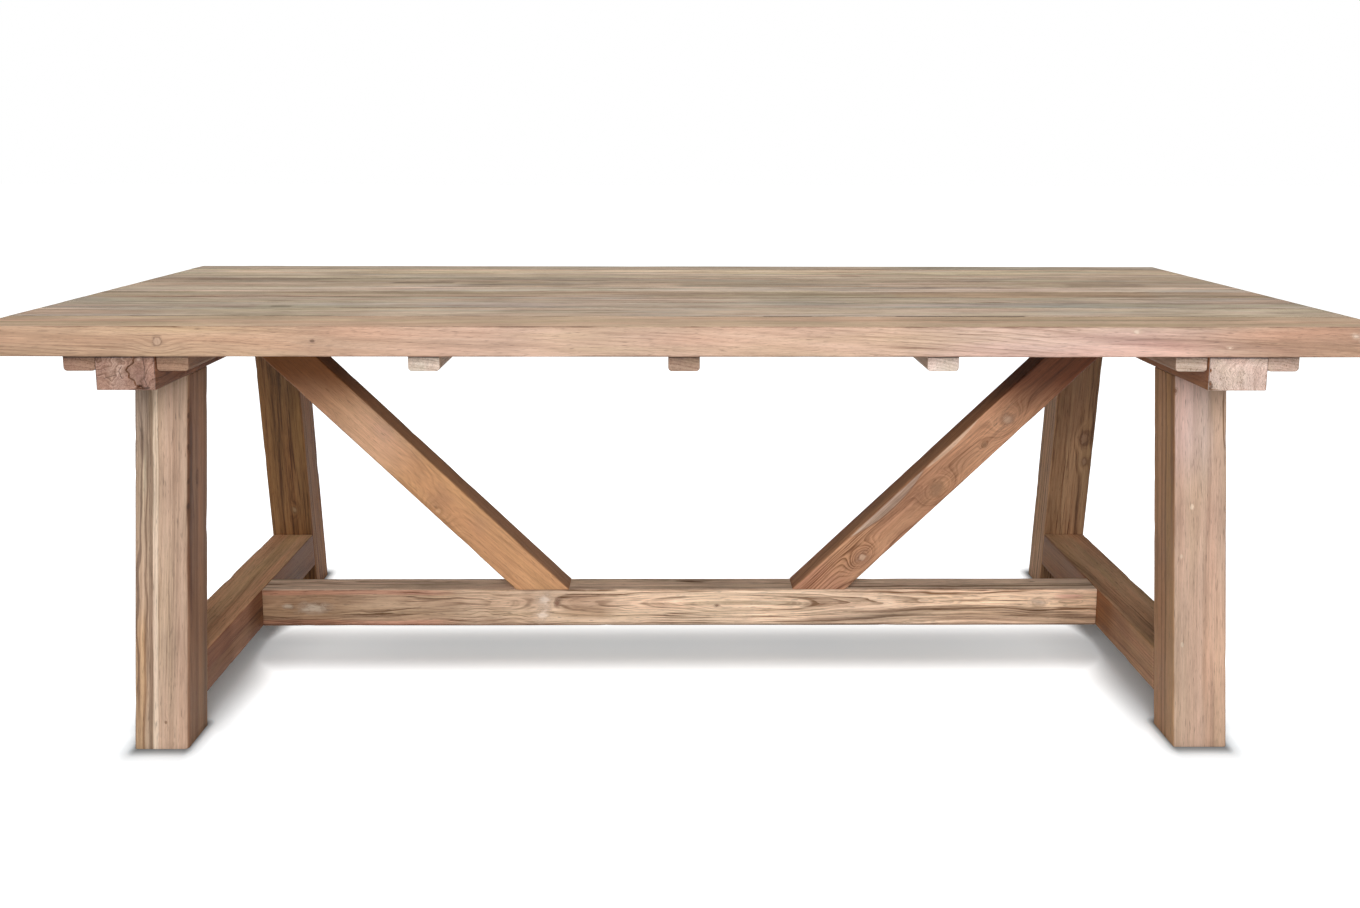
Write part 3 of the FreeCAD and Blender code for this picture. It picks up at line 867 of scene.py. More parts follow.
def teak(timber, look):
    """Reclaimed teak: growth rings, broad figure, fibres, pores, sapwood, knots and worn edges."""
    g = Graph(bpy.data.materials.new(timber.node + "_teak"))
    coordinates = g.node("TexCoord")
    point = g.out(coordinates, "Object")
    place = g.into(point, timber.place, timber.place.to_translation())
    normal = g.into(g.out(coordinates, "Normal"), timber.place, (0, 0, 0))
    end_grain = g.smooth(abs(g.split(normal)[0]), *END_GRAIN)
    picker = random.Random(timber.seed)
    shift = tuple(picker.uniform(-20, 20) for axis in range(3))
    noisy = g.vector("ADD", place, shift)

    distance = ring_distance(g, look, place, noisy)
    tone, late = wood_tone(g, look, distance, noisy, end_grain, timber.seed)
    dark, pale = product(look.base, look.dark), product(look.base, look.pale)
    colour = g.ramp(tone, (0.05, dark), (0.50, look.base), (0.95, pale))
    colour = casts(g, look, colour, noisy)
    colour = add_bands(g, look, colour, place, normal, noisy, g.split(point)[2])
    colour = add_knots(g, look, colour, place)
    colour = add_checks(g, look, colour, place, normal)
    for tint in look.tints:
        colour = g.mix(facing(g, normal, tint.direction), colour, tint.shares, "MULTIPLY")

    fibre = g.streaky(noisy, FIBRES, 3.0)
    pores = g.smooth(g.streaky(noisy, PORES, 1.0), *PORE_LEVELS)
    fleck = g.smooth(g.streaky(noisy, FLECKS, 1.0), *FLECK_LEVELS)
    blotch = g.streaky(noisy, BLOTCHES, 3.0)
    shade = (fibre * FIBRE_SHADE[1] + FIBRE_SHADE[0]) * (blotch * BLOTCH_SHADE[1] + BLOTCH_SHADE[0])
    shade = shade * (1.0 - pores * PORE_SHADE) * (1.0 - fleck * FLECK_SHADE)
    colour = g.mix(1.0, colour, g.join(shade, shade, shade), "MULTIPLY")
    worn = edge_wear(g, place, timber.half, noisy, look.edge_reach)
    colour = g.mix(worn, colour, look.edge, "MULTIPLY")
    relief = fibre * 0.9 - late * 0.5 - pores * 0.8 + g.streaky(noisy, DENTS) * 1.1
    bump = g.bump(relief, 0.45, RELIEF_DEPTH)
    return g.surface(colour, blotch * ROUGHNESS[1] + ROUGHNESS[0], bump, {"Specular IOR Level": 0.3})


def steel(name):
    """Zinc-plated steel, dulled and finely scratched."""
    g = Graph(bpy.data.materials.new(name))
    place = g.out(g.node("TexCoord"), "Object")
    cloud = g.stretched(place, (180.0, 180.0, 180.0), 3.0)
    scratch = g.stretched(place, (2600.0, 300.0, 900.0))
    colour = g.ramp(cloud, (0.3, (0.34, 0.34, 0.35)), (0.7, (0.56, 0.56, 0.57)))
    return g.surface(colour, scratch * 0.3 + 0.28, g.bump(scratch, 0.15, 0.0002), {"Metallic": 1.0})


def plug_wood(name, dark, pale):
    """Turned teak of pegs, dowels and plugs, their grain across the end that shows."""
    g = Graph(bpy.data.materials.new(name))
    place = g.out(g.node("TexCoord"), "Object")
    grain = g.stretched(place, (260.0, 900.0, 60.0), 3.0, 0.6)
    pores = g.smooth(g.stretched(place, (1800.0, 1800.0, 200.0), 1.0), 0.58, 0.72)
    colour = g.mix(pores * 0.5, g.ramp(grain, (0.32, dark), (0.68, pale)), dark)
    return g.surface(colour, grain * 0.2 + 0.5, g.bump(grain, 0.3, 0.0005))


# ---- The table's timbers and their looks ----------------------------------------------------------------
SAPWOOD = (0.76, 0.58, 0.44)
KNOT_RIM = (0.20, 0.11, 0.06)
KNOT_HEART = (0.34, 0.20, 0.12)
FILLER = (0.72, 0.56, 0.42)
SLIVER = (0.64, 0.42, 0.28)
JOINT_LINE = (0.13, 0.09, 0.06)
# Painted shadow in the joints of the front ends with the top and the battens.
PAINTED_JOINT_SHADOW = (0.05, 0.03, 0.022)
CHIP_SHADE = (0.11, 0.06, 0.04)
DARK_CRACK = (0.055, 0.027, 0.017)
PALE_KNOT = ((0.52, 0.37, 0.27), (0.84, 0.68, 0.56))    # rim and middle, as in the next three
PALE_EYE = ((0.30, 0.15, 0.09), (0.62, 0.40, 0.27))
DARK_EYE = ((0.24, 0.12, 0.06), (0.34, 0.18, 0.10))
PALE_SPECK = ((0.66, 0.46, 0.34), (0.80, 0.62, 0.50))
# The teak's own colour, without the painted shade that darkens the base colours of the rear legs and the
# rails.
UNSEEN_LEG = (0.50, 0.335, 0.235)       # the rear legs' rear and outer faces, and the rails' outer faces
REAR_EDGE_SHARES = (1.16, 1.0, 0.92)    # the top's rear edge is as little weathered as its front edge
UNDERSIDE_SHARES = (0.84, 0.68, 0.55)   # the top's underside is brown, because no weather reaches it
FRONT_BOARD_SHARES = (0.90, 0.95, 0.88)
BEAM_SIDE_SHARES = (0.98, 0.76, 0.60)
TOP_EDGE_SHADE = (0.40, 0.34, 0.29)
ROUNDED = (0.004,) * 4                  # edge radii of the planed timbers

# Boards of the top, front board first: colour, rings' centre, figure and bands on the upper face.
BOARDS = (
    ((0.565, 0.375, 0.275), (0.10, -0.16), 110.0, (
    (-0.012, 0.003, 0.005, (0.36, 0.26, 0.17), 0.6, -1.2, -0.85),
    (0.016, 0.004, 0.006, (0.34, 0.26, 0.17), 0.7, 0.33, 1.02, 0.05),
    )),
    ((0.518, 0.401, 0.296), (0.16, -0.05), 75.0, (
    (-0.052, 0.004, 0.001, JOINT_LINE, 0.9, 0.378, 0.614, 0.004, 0.0015),
    (-0.0535, 0.0045, 0.001, JOINT_LINE, 0.8, 0.14, 0.232, 0.004, 0.001),
    (-0.053, 0.0016, 0.001, JOINT_LINE, 0.7, -0.99, -0.77, 0.01, 0.001),
    (-0.053, 0.0014, 0.001, JOINT_LINE, 0.6, -0.7, -0.62, 0.01, 0.001),
    )),
    ((0.463, 0.369, 0.280), (-0.15, -0.08), 70.0, (
    (-0.015, 0.016, 0.004, (0.46, 0.31, 0.25), 0.5, -0.95, -0.8, 0.01),
    (-0.024, 0.009, 0.003, (0.26, 0.2, 0.14), 0.7, -0.78, -0.735, 0.006),
    (0, 0.025, 0.01, (0.38, 0.34, 0.3), 0.5, -0.55, -0.2, 0.1),
    (0, 0.025, 0.01, (0.4, 0.35, 0.31), 0.5, 0.35, 0.9, 0.15),
    )),
    ((0.493, 0.383, 0.286), (0.14, -0.07), 85.0, ()),
    ((0.449, 0.333, 0.231), (-0.16, -0.06), 80.0, (
    (-0.0425, 0.0018, 0.001, JOINT_LINE, 0.8, -0.81, -0.28, 0.02, 0.001),
    (0, 0.04, 0.01, (0.44, 0.29, 0.18), 0.55, 0.42, 0.98, 0.03),
    (-0.0425, 0.0015, 0.001, JOINT_LINE, 0.6, 0.78, 0.98, 0.02, 0.001),
    )),
    ((0.589, 0.463, 0.352), (0.12, -0.11), 70.0, (
    (0.03, 0.01, 0.004, (0.3, 0.23, 0.17), 0.45, 0.5, 0.7),
    )),
    ((0.506, 0.381, 0.274), (0.16, -0.05), 80.0, (
    (0.032, 0.012, 0.003, (0.52, 0.4, 0.3), 0.6, -1.05, -0.65, 0.01),
    (0.027, 0.016, 0.004, (0.24, 0.18, 0.12), 0.75, -0.645, -0.495, 0.015),
    (-0.012, 0.014, 0.008, (0.29, 0.22, 0.15), 0.6, -0.5, -0.2, 0.05),
    (-0.004, 0.024, 0.008, (0.31, 0.25, 0.17), 0.6, -0.02, 0.43, 0.03),
    (-0.002, 0.028, 0.006, (0.33, 0.23, 0.16), 0.6, 0.83, 1.03, 0.03),
    )),
    ((0.465, 0.353, 0.252), (-0.15, -0.06), 75.0, (
    (0.004, 0.02, 0.008, (0.26, 0.195, 0.135), 0.6, -1.15, -0.78, 0.06),
    (-0.012, 0.008, 0.005, (0.25, 0.19, 0.13), 0.6, -0.32, -0.15, 0.03),
    )),
    ((0.567, 0.439, 0.318), (0.14, -0.08), 75.0, (
    (-0.02, 0.012, 0.006, (0.56, 0.44, 0.33), 0.6, -1.2, -0.65, 0.05),
    (0, 0.02, 0.006, (0.34, 0.24, 0.17), 0.55, 0.36, 0.43),
    )),
    ((0.698, 0.535, 0.378), (-0.14, -0.10), 65.0, ()),
    ((0.496, 0.396, 0.296), (0.15, -0.06), 80.0, ()))
TOP_FRONT_BANDS = (
    (0, 0.02, 0.02, (0.648, 0.442, 0.371), 0.8, 0.32, 0.98, 0.25),
    (0, 0.02, 0.02, (0.5, 0.325, 0.233), 0.7, -0.1, 0.3, 0.15),
    (0.012, 0.004, 0.006, (0.4, 0.24, 0.18), 0.4, 0.56, 0.92, 0.1, 0.01, (0.56, 0.25)),
    (0.002, 0.003, 0.006, (0.4, 0.24, 0.18), 0.4, 0.66, 1.1, 0.1, 0.01, (0.66, 0.14)),
    (0, 0.02, 0.02, (0.5, 0.32, 0.205), 0.9, -9, -0.3, 0.5),
    (0, 0.02, 0.02, (0.5, 0.3, 0.2), 0.9, 0.86, 9, 0.2),
)
TOP_FRONT_KNOTS = (
    Knot((-0.626, -0.06, 0.001), 0.003, (0.28, 0.16, 0.11), (0.20, 0.12, 0.08), 0.001, 7.0),
    Knot((0.765, -0.06, 0.018), 0.004, (0.62, 0.44, 0.33), (0.78, 0.62, 0.50), 0.001),
    # Painted shadow of the gap round the edge plug: a dark ring a little wider than the plug.
    Knot((-0.886, -0.06, 0.0), 0.0068, (0.13, 0.075, 0.05), (0.30, 0.19, 0.13), 0.002, 5.0, length=1.1),
    Knot((1.138, -0.06, 0.010), 0.0050, *PALE_SPECK, 0.001),
    Knot((1.150, -0.06, 0.002), 0.0035, *PALE_SPECK, 0.001),
    Knot((0.925, -0.06, -0.010), 0.0035, *PALE_SPECK, 0.001))
TOP_FRONT_SWELLS = (
    Swell((-0.886, -0.06, 0), (0.035, 0.03, 0.02), 0.006),
    Swell((0.72, -0.06, 0), (0.13, 0.06, 0.03), 0.006),
    Swell((-0.80, -0.06, -0.01), (0.10, 0.06, 0.02), -0.008))
FRONT_BOARD = {"taper": 0.05, "streaks": 0.25, "ripple": 0.006, "contrast": 0.32, "hue": 0.6,
               "knots": TOP_FRONT_KNOTS, "swells": TOP_FRONT_SWELLS}
WEATHERED_BOARD = {"contrast": 0.45, "streaks": 0.9, "hue": 0.7, "grey": 0.5}
# Each batten's wood and the tone of its ends, of which the edge of the top doesn't hide the front one.
BATTENS = {
    "batten_left_outer": ((0.27, 0.15, 0.09), (0.295, 0.170, 0.116)),
    "batten_left_inner": ((0.27, 0.15, 0.09), (0.330, 0.200, 0.130)),
    "batten_left_middle": ((0.46, 0.32, 0.22), (0.645, 0.530, 0.435)),
    "batten_centre": ((0.37, 0.24, 0.16), (0.375, 0.243, 0.172)),
    "batten_right_middle": ((0.48, 0.35, 0.25), (0.790, 0.640, 0.555)),
    "batten_right_inner": ((0.33, 0.21, 0.14), (0.540, 0.400, 0.315)),
    "batten_right_outer": ((0.35, 0.23, 0.16), (0.600, 0.428, 0.340)),
}


def dress(timber, look):
    """Timber with its own teak."""
    return place_timber(timber, teak(timber, look))


def build_top():
    for number, (base, pith, figure, rows) in enumerate(BOARDS, start=1):
        own = FRONT_BOARD if number == 1 else WEATHERED_BOARD
        look = Look(base, pith=pith, figure=figure, edge=TOP_EDGE_SHADE, edge_reach=0.003,
                    bands=strips("y", PLUS_Z, *rows), tints=[Tint(MINUS_Z, UNDERSIDE_SHARES)], **own)
        if number == 1:
            look.bands += strips("z", MINUS_Y, *TOP_FRONT_BANDS)
            look.tints += [Tint(PLUS_Z, FRONT_BOARD_SHARES)]
        if number == len(BOARDS):
            look.tints += [Tint(PLUS_Y, REAR_EDGE_SHARES)]
        board = lengthwise(
            f"top_board_{number:02d}", arris=(0.0020, 0.0020, 0.0008, 0.0008), wear=0.5, dings=6,
            ding_depth=0.0022, waviness=0.0007, closed_sides=(1,) if number == 1 else (1, -1), step=0.02,
            seed=number)
        dress(board, look)


def painted_shadow_under_top(timber):
    """Painted shadow line on a front end, just below the top."""
    return strips("z", FRONT_END,
                  (timber.half[1] - 0.0025, 0.0025, 0.0015, PAINTED_JOINT_SHADOW, 0.85, *ALL_LONG, 0.0012))


def beam_joint_shadows(beam):
    """Painted shadow lines on a beam's front end, where it meets the top and the battens beside it."""
    sides = [(turn * beam.half[0], 0.0010, 0.0015, PAINTED_JOINT_SHADOW, 0.7, *ALL_LONG, 0.001) for turn in (-1, 1)]
    return painted_shadow_under_top(beam) + strips("y", FRONT_END, *sides)


def both_ends(end, base):
    """Tone of the end grain at the front and at the rear."""
    return [Tint(direction, ratio(end, base)) for direction in (FRONT_END, REAR_END)]


def build_battens():
    for number, (name, (base, end)) in enumerate(BATTENS.items(), start=21):
        batten = crosswise(name, arris=(0.0015, 0.0015, 0.007, 0.007), waviness=0.0006,
                           flat_points=9, seed=number)
        look = Look(base, figure=130.0, contrast=0.35, pith=(0.02, -0.16), line_strength=0.25,
                    bands=painted_shadow_under_top(batten), tints=both_ends(end, base))
        dress(batten, look)


# A beam's local Y runs towards the table's left, so its front end is drawn with Y reversed.
LEFT_BEAM_CRACK = ((-0.018, 0.032), (-0.014, 0.021), (-0.015, 0.017), (-0.005, 0.010), (-0.001, 0.004),
                   (-0.006, -0.002), (-0.005, -0.009), (-0.014, -0.014), (-0.016, -0.022), (-0.027, -0.031))
LEFT_BEAM_CHECKS = (
    Check(0.0004, DARK_CRACK, LEFT_BEAM_CRACK),
    Check(0.0005, DARK_CRACK, ((0.006, 0.010), (0.011, 0.003), (0.009, -0.004), (0.006, -0.011))),
    Check(0.0004, DARK_CRACK, ((0.036, -0.010), (0.026, -0.007), (0.015, -0.004))),
    Check(0.0016, DARK_CRACK, ((-0.020, -0.024), (-0.028, -0.028), (-0.038, -0.027))),
    Check(0.0005, DARK_CRACK, ((-0.031, 0.026), (-0.033, 0.008), (-0.031, -0.010), (-0.036, -0.024))))
LEFT_BEAM_CORNER = (-0.022, -0.029)
LEFT_BEAM_BANDS = (
    (0.014, 0.008, 0.01, (0.29, 0.17, 0.108), 0.9), (-0.028, 0.006, 0.006, (0.18, 0.09, 0.055), 0.7),
)
RIGHT_BEAM_CHECK = Check(0.0020, (0.09, 0.038, 0.018), ((0.047, -0.016), (0.043, -0.024), (0.046, -0.032)))
RIGHT_BEAM_NOTCHES = ((0.049, -0.020, 0.005), (0.046, -0.031, 0.007), (0.049, 0.004, 0.003))
NOTCH_DEPTH = 0.007
CRACK_DEPTH = 0.003
CORNER_DEPTH = 0.008
CORNER_REACH = 0.006
END_ROUGHNESS = 0.0006


def near_line(points, y, z):
    """Distance from a point of an end face to a bent line on it."""
    nearest = 1.0
    for (ya, za), (yb, zb) in zip(points, points[1:]):
        along = Vector((yb - ya, zb - za))
        reach = Vector((y - ya, z - za))
        share = min(1.0, max(0.0, reach.dot(along) / along.length_squared))
        nearest = min(nearest, (reach - along * share).length)
    return nearest


def rough_end(y, z, waves, seed):
    """Depth of an end's roughness, with its waves per metre."""
    return END_ROUGHNESS * (1 + noise.noise(Vector((y * waves, z * waves, seed))))


def left_beam_break(end, y, z):
    """Drying crack across the left beam's front end and the crumbled wood where it leaves."""
    if end == 1:
        return 0.0
    width = 0.0008 + 0.0005 * noise.noise(Vector((y * 150, z * 150, 9.0)))
    crack = CRACK_DEPTH * math.exp(-(near_line(LEFT_BEAM_CRACK, y, z) / width) ** 2)
    corner = CORNER_DEPTH * math.exp(-(math.dist(LEFT_BEAM_CORNER, (y, z)) / CORNER_REACH) ** 2)
    return rough_end(y, z, 260, 3.0) + crack + corner


def right_beam_break(end, y, z):
    """Notches along the left side of the right beam's front end."""
    if end == 1:
        return 0.0
    notches = [NOTCH_DEPTH * math.exp(-(math.dist((cy, cz), (y, z)) / radius) ** 2)
               for cy, cz, radius in RIGHT_BEAM_NOTCHES]
    return rough_end(y, z, 240, 5.0) + sum(notches)


def coach_pockets(side):
    """Washer pockets in a beam's underside."""
    return [((side * trestle_x, turn * y, beam_underside), PLUS_Z, COACH_POCKET_DEPTH, COACH_POCKET_RADIUS)
            for turn in (-1, 1) for y in COACH_POCKET_YS]


def build_beam(name, side, end, relief, seed, **settings):
    """Beam with its washer pockets; end is the tone of its end grain. Its base colour is darkened with
    painted shade, for the shade under the top, and the side shares warm its sides.
    """
    beam = crosswise(name, arris=(0.0025,) * 4, flat_points=45, cap_shrink=(FINE_CAP, CAP_SHRINK),
                     relief=relief, seed=seed)
    look = Look(**settings)
    look.bands = [*look.bands, *beam_joint_shadows(beam)]
    sides = [Tint(PLUS_Y, BEAM_SIDE_SHARES), Tint(MINUS_Y, BEAM_SIDE_SHARES)]
    look.tints = both_ends(end, look.base) + sides
    drill(dress(beam, look), coach_pockets(side))


def build_beams():
    inclusion = Knot((-0.470, -0.024, 0.022), 0.0042, (0.23, 0.13, 0.08), (0.44, 0.30, 0.195), length=9.0)
    build_beam("beam_left", -1, (0.37, 0.212, 0.155), left_beam_break, 31, base=(0.235, 0.125, 0.075),
               figure=200.0, ripple=0.045, wander=0.03, pith=(0.05, 0.07), contrast=1.3, line_strength=0.3,
               end_lines=0.0, knots=(inclusion,), bands=strips("y", FRONT_END, *LEFT_BEAM_BANDS),
               checks=LEFT_BEAM_CHECKS)
    build_beam("beam_right", 1, (0.735, 0.555, 0.47), right_beam_break, 32, base=(0.34, 0.185, 0.108),
               figure=190.0, ripple=0.030, wander=0.02, pith=(-0.09, -0.015), contrast=0.35, end_lines=0.35,
               line_strength=0.2, lines=330.0, checks=(RIGHT_BEAM_CHECK,))


# A leg's local X runs up from its foot. Its front face looks to MINUS_Z.
LEFT_LEG_CHIPS = ((3, 0.605, 0.008, 0.003), (3, 0.545, 0.010, 0.004), (3, 0.480, 0.008, 0.003),
                  (3, 0.430, 0.014, 0.004), (3, 0.340, 0.030, 0.003))
CHIP_SIZES = {0.601: 0.0020, 0.545: 0.0028, 0.482: 0.0020, 0.436: 0.0026}     # by height
LEFT_LEG_KNOTS = (
    Knot((0.043, 0.008, -0.0455), 0.0022, KNOT_RIM, KNOT_RIM, length=1.2),
    # Painted shade in the chips along the leg's inner front edge.
    *(Knot((height, 0.0470, -0.0400), size, CHIP_SHADE, CHIP_SHADE, length=2.2)
      for height, size in CHIP_SIZES.items()),
    Knot((0.485, 0.049, -0.004), 0.005, KNOT_RIM, KNOT_HEART, 0.004, 6.0, length=2.6))
RIGHT_LEG_KNOTS = (
    Knot((0.648, -0.047, -0.0455), 0.0035, KNOT_RIM, (0.26, 0.13, 0.10), length=1.6),
    Knot((0.182, -0.033, -0.0455), 0.0022, FILLER, FILLER, length=1.6),
    Knot((0.344, -0.035, -0.0455), 0.0020, FILLER, FILLER, length=1.6),
    Knot((0.435, -0.016, -0.0455), 0.0026, FILLER, FILLER, length=1.8))
REAR_LEFT_KNOT = Knot((0.218, 0.01, -0.0455), 0.006, (0.20, 0.11, 0.05), (0.38, 0.24, 0.13), 0.008, 6.0)
REAR_RIGHT_KNOTS = (
    Knot((0.405, 0.024, -0.0455), 0.010, (0.16, 0.07, 0.035), (0.34, 0.19, 0.11), 0.016, 5.0, length=2.0),
    Knot((0.345, 0.030, -0.0455), 0.007, (0.20, 0.10, 0.05), (0.38, 0.22, 0.13), 0.010, 4.0, length=1.6))
LEFT_LEG_FRONT = (
    (-0.034, 0.017, 0.004, (0.43, 0.3, 0.205), 0.9, *ALL_LONG, 0.003),
    (-0.037, 0.006, 0.006, (0.6, 0.36, 0.2), 0.7, -9, 0.28, 0.1, 0.008),
    (-0.033, 0.003, 0.003, (0.7, 0.49, 0.34), 0.7, 0.02, 0.3, 0.1),
    (-0.037, 0.003, 0.003, (0.68, 0.47, 0.33), 0.75, 0.24, 0.62, 0.1, 0.01),
    (-0.0265, 0.0012, 0.002, (0.22, 0.13, 0.08), 0.7, 0.1, 0.6, 0.1, 0.018),
    (-0.0415, 0.0013, 0.002, (0.17, 0.1, 0.07), 0.75, 0.02, 0.66, 0.1, 0.018),
    (-0.039, 0.004, 0.003, (0.34, 0.215, 0.15), 0.8, 0.5, 0.6, 0.04, 0.014),
    (-0.033, 0.0022, 0.003, (0.56, 0.42, 0.31), 0.7, 0.44, 0.56, 0.04, 0.02),
    (-0.03, 0.001, 0.002, (0.22, 0.12, 0.07), 0.7, -9, 0.3, 0.1, 0.008),
    (-0.036, 0.012, 0.006, (0.4, 0.275, 0.215), 0.85, 0.46, 9, 0.15),
    (-0.0185, 0.0022, 0.003, (0.29, 0.18, 0.12), 0.75, *ALL_LONG, 0.004),
    (-0.0105, 0.0038, 0.002, SAPWOOD, 0.9, *ALL_LONG, 0.0015),
)
LEFT_LEG_INNER = (
    (-0.037, 0.006, 0.006, (0.29, 0.16, 0.1), 0.9, 0.2, 0.68, 0.1, 0.008),
    (-0.03, 0.005, 0.006, (0.36, 0.22, 0.14), 0.6, 0.1, 9, 0.2),
    (-0.006, 0.003, 0.004, (0.34, 0.21, 0.14), 0.6, *ALL_LONG, 0.004),
    (0.012, 0.006, 0.006, (0.66, 0.44, 0.29), 0.5, *ALL_LONG, 0.004),
    (0.033, 0.003, 0.004, (0.34, 0.23, 0.16), 0.5, *ALL_LONG, 0.004),
)
RIGHT_LEG_FRONT = (
    (-0.018, 0.028, 0.014, (0.66, 0.47, 0.405), 0.85, 0.45, 9, 0.12, 0.01),
    (0, 0.05, 0.01, (0.5, 0.328, 0.24), 0.85, 0.35, 0.48, 0.06, 0.01),
    (0.03, 0.016, 0.012, (0.6, 0.375, 0.255), 0.7, -9, 0.4, 0.25, 0.01),
    (0.0225, 0.002, 0.004, (0.34, 0.21, 0.15), 0.6, -9, 0.2, 0.1, 0.002),
    (0.008, 0.0015, 0.004, (0.36, 0.23, 0.16), 0.5, 0.02, 0.42, 0.1, 0.002),
    (0.041, 0.0006, 0.0012, KNOT_RIM, 0.9, 0.53, 0.66, 0.03),
)
RIGHT_LEG_INNER = (
    (-0.038, 0.005, 0.006, (0.3, 0.18, 0.11), 0.8, 0.34, 9, 0.15),
    (-0.022, 0.006, 0.006, (0.56, 0.37, 0.21), 0.6, 0.25, 9, 0.15, 0.005),
    (-0.008, 0.0018, 0.003, (0.26, 0.16, 0.1), 0.75, *ALL_LONG, 0.004),
    (0.008, 0.0014, 0.003, (0.3, 0.18, 0.12), 0.65, *ALL_LONG, 0.005),
    (0.03, 0.004, 0.004, (0.34, 0.22, 0.15), 0.6, 0.15, 9, 0.1, 0.005),
)
REAR_RIGHT_STRIP = (
    (-0.004, 0.008, 0.008, (0.4, 0.235, 0.125), 0.7),
)
# Painted shadow of the top on the rear right leg's front face, by height, over its upper part.
REAR_RIGHT_SHADE = (
    (0.7, 0.22, 0.12, (0.265, 0.132, 0.064)),
)


def build_front_legs():
    # The tints on the inner faces are painted shade.
    front_left = leg("leg_front_left", -1, -1, arris=(0.004, 0.004, 0.005, 0.008), chips=LEFT_LEG_CHIPS,
                     seed=41)
    dress(front_left, Look(
        (0.535, 0.362, 0.256), pith=(0.16, -0.05), figure=120.0, contrast=0.45, streaks=0.3, taper=0.012,
        ripple=0.006, knots=LEFT_LEG_KNOTS, tints=(Tint(PLUS_Y, (0.62, 0.49, 0.40)),),
        bands=strips("y", MINUS_Z, *LEFT_LEG_FRONT) + strips("z", PLUS_Y, *LEFT_LEG_INNER)))
    front_right = leg("leg_front_right", 1, -1, arris=(0.004, 0.004, 0.004, 0.005), seed=42)
    dress(front_right, Look(
        (0.560, 0.374, 0.274), pith=(0.18, -0.02), figure=100.0, contrast=0.30, streaks=0.12, taper=0.01,
        line_strength=0.10, knots=RIGHT_LEG_KNOTS, tints=(Tint(MINUS_Y, (0.93, 0.78, 0.58)),),
        bands=strips("y", MINUS_Z, *RIGHT_LEG_FRONT) + strips("z", MINUS_Y, *RIGHT_LEG_INNER)))


def build_rear_leg(name, side, inner_shares, seed, base, **settings):
    """Rear leg whose base colour is darkened with painted shade, for the shade under the top; inner_shares
    give its inner face a level of its own, and its rear and outer faces are paler, in the teak's own colour.
    """
    timber = leg(name, side, 1, arris=ROUNDED, seed=seed)
    unseen = ratio(UNSEEN_LEG, base)
    tints = (Tint(PLUS_Z, unseen), Tint((0, side, 0), unseen), Tint((0, -side, 0), inner_shares))
    dress(timber, Look(base, figure=120.0, tints=tints, **settings))


def build_rear_legs():
    build_rear_leg("leg_rear_left", -1, (1.28, 1.10, 0.93), 43, (0.256, 0.124, 0.046), pith=(0.05, -0.14),
                   contrast=1.3, streaks=1.2, knots=(REAR_LEFT_KNOT,))
    bands = strips("y", MINUS_Z, *REAR_RIGHT_STRIP) + strips("height", MINUS_Z, *REAR_RIGHT_SHADE)
    build_rear_leg("leg_rear_right", 1, (1.70, 1.74, 1.82), 44, (0.338, 0.180, 0.090), pith=(-0.04, -0.14),
                   contrast=1.15, streaks=1.0, knots=REAR_RIGHT_KNOTS, bands=bands)


# Each foot rail's wood, darkened with painted shade, the shares of its top and inner face, which paint its
# top lighter, and the stretches of its inner face.
RAILS = (
    ((0.330, 0.178, 0.102), (2.03, 2.29, 2.24), (0.98, 0.91, 0.90), (
    ((0.225, 0.101, 0.045), 0.9, -0.125, 9, 0.05), ((0.4, 0.226, 0.136), 0.9, -0.225, -0.095, 0.04),
    ((0.288, 0.148, 0.084), 0.9, -9, -0.195, 0.04),
    )),
    ((0.392, 0.214, 0.126), (1.40, 1.56, 1.52), (1.16, 1.10, 1.02), (
    ((0.29, 0.135, 0.06), 0.9, -0.145, 9, 0.05), ((0.455, 0.262, 0.158), 0.8, -9, -0.185, 0.05),
    )))


def build_rails():
    """The right rail is a little paler than the left; both have base colours darkened with painted shade,
    tops painted lighter by their shares, and flecks on their tops.
    """
    for number, ((name, side), (base, top, inner, rows)) in enumerate(zip(SIDES, RAILS)):
        rail = foot_rail(f"foot_rail_{name}", side, arris=ROUNDED, seed=35 + number)
        tints = (Tint(PLUS_Z, top), Tint((0, side, 0), inner), Tint((0, -side, 0), ratio(UNSEEN_LEG, base)))
        dress(rail, Look(base, figure=60.0, pith=(0.12, -0.10), contrast=0.6, streaks=0.35, hue=0.8,
                         bands=stretches((0, side, 0), *rows), tints=tints))


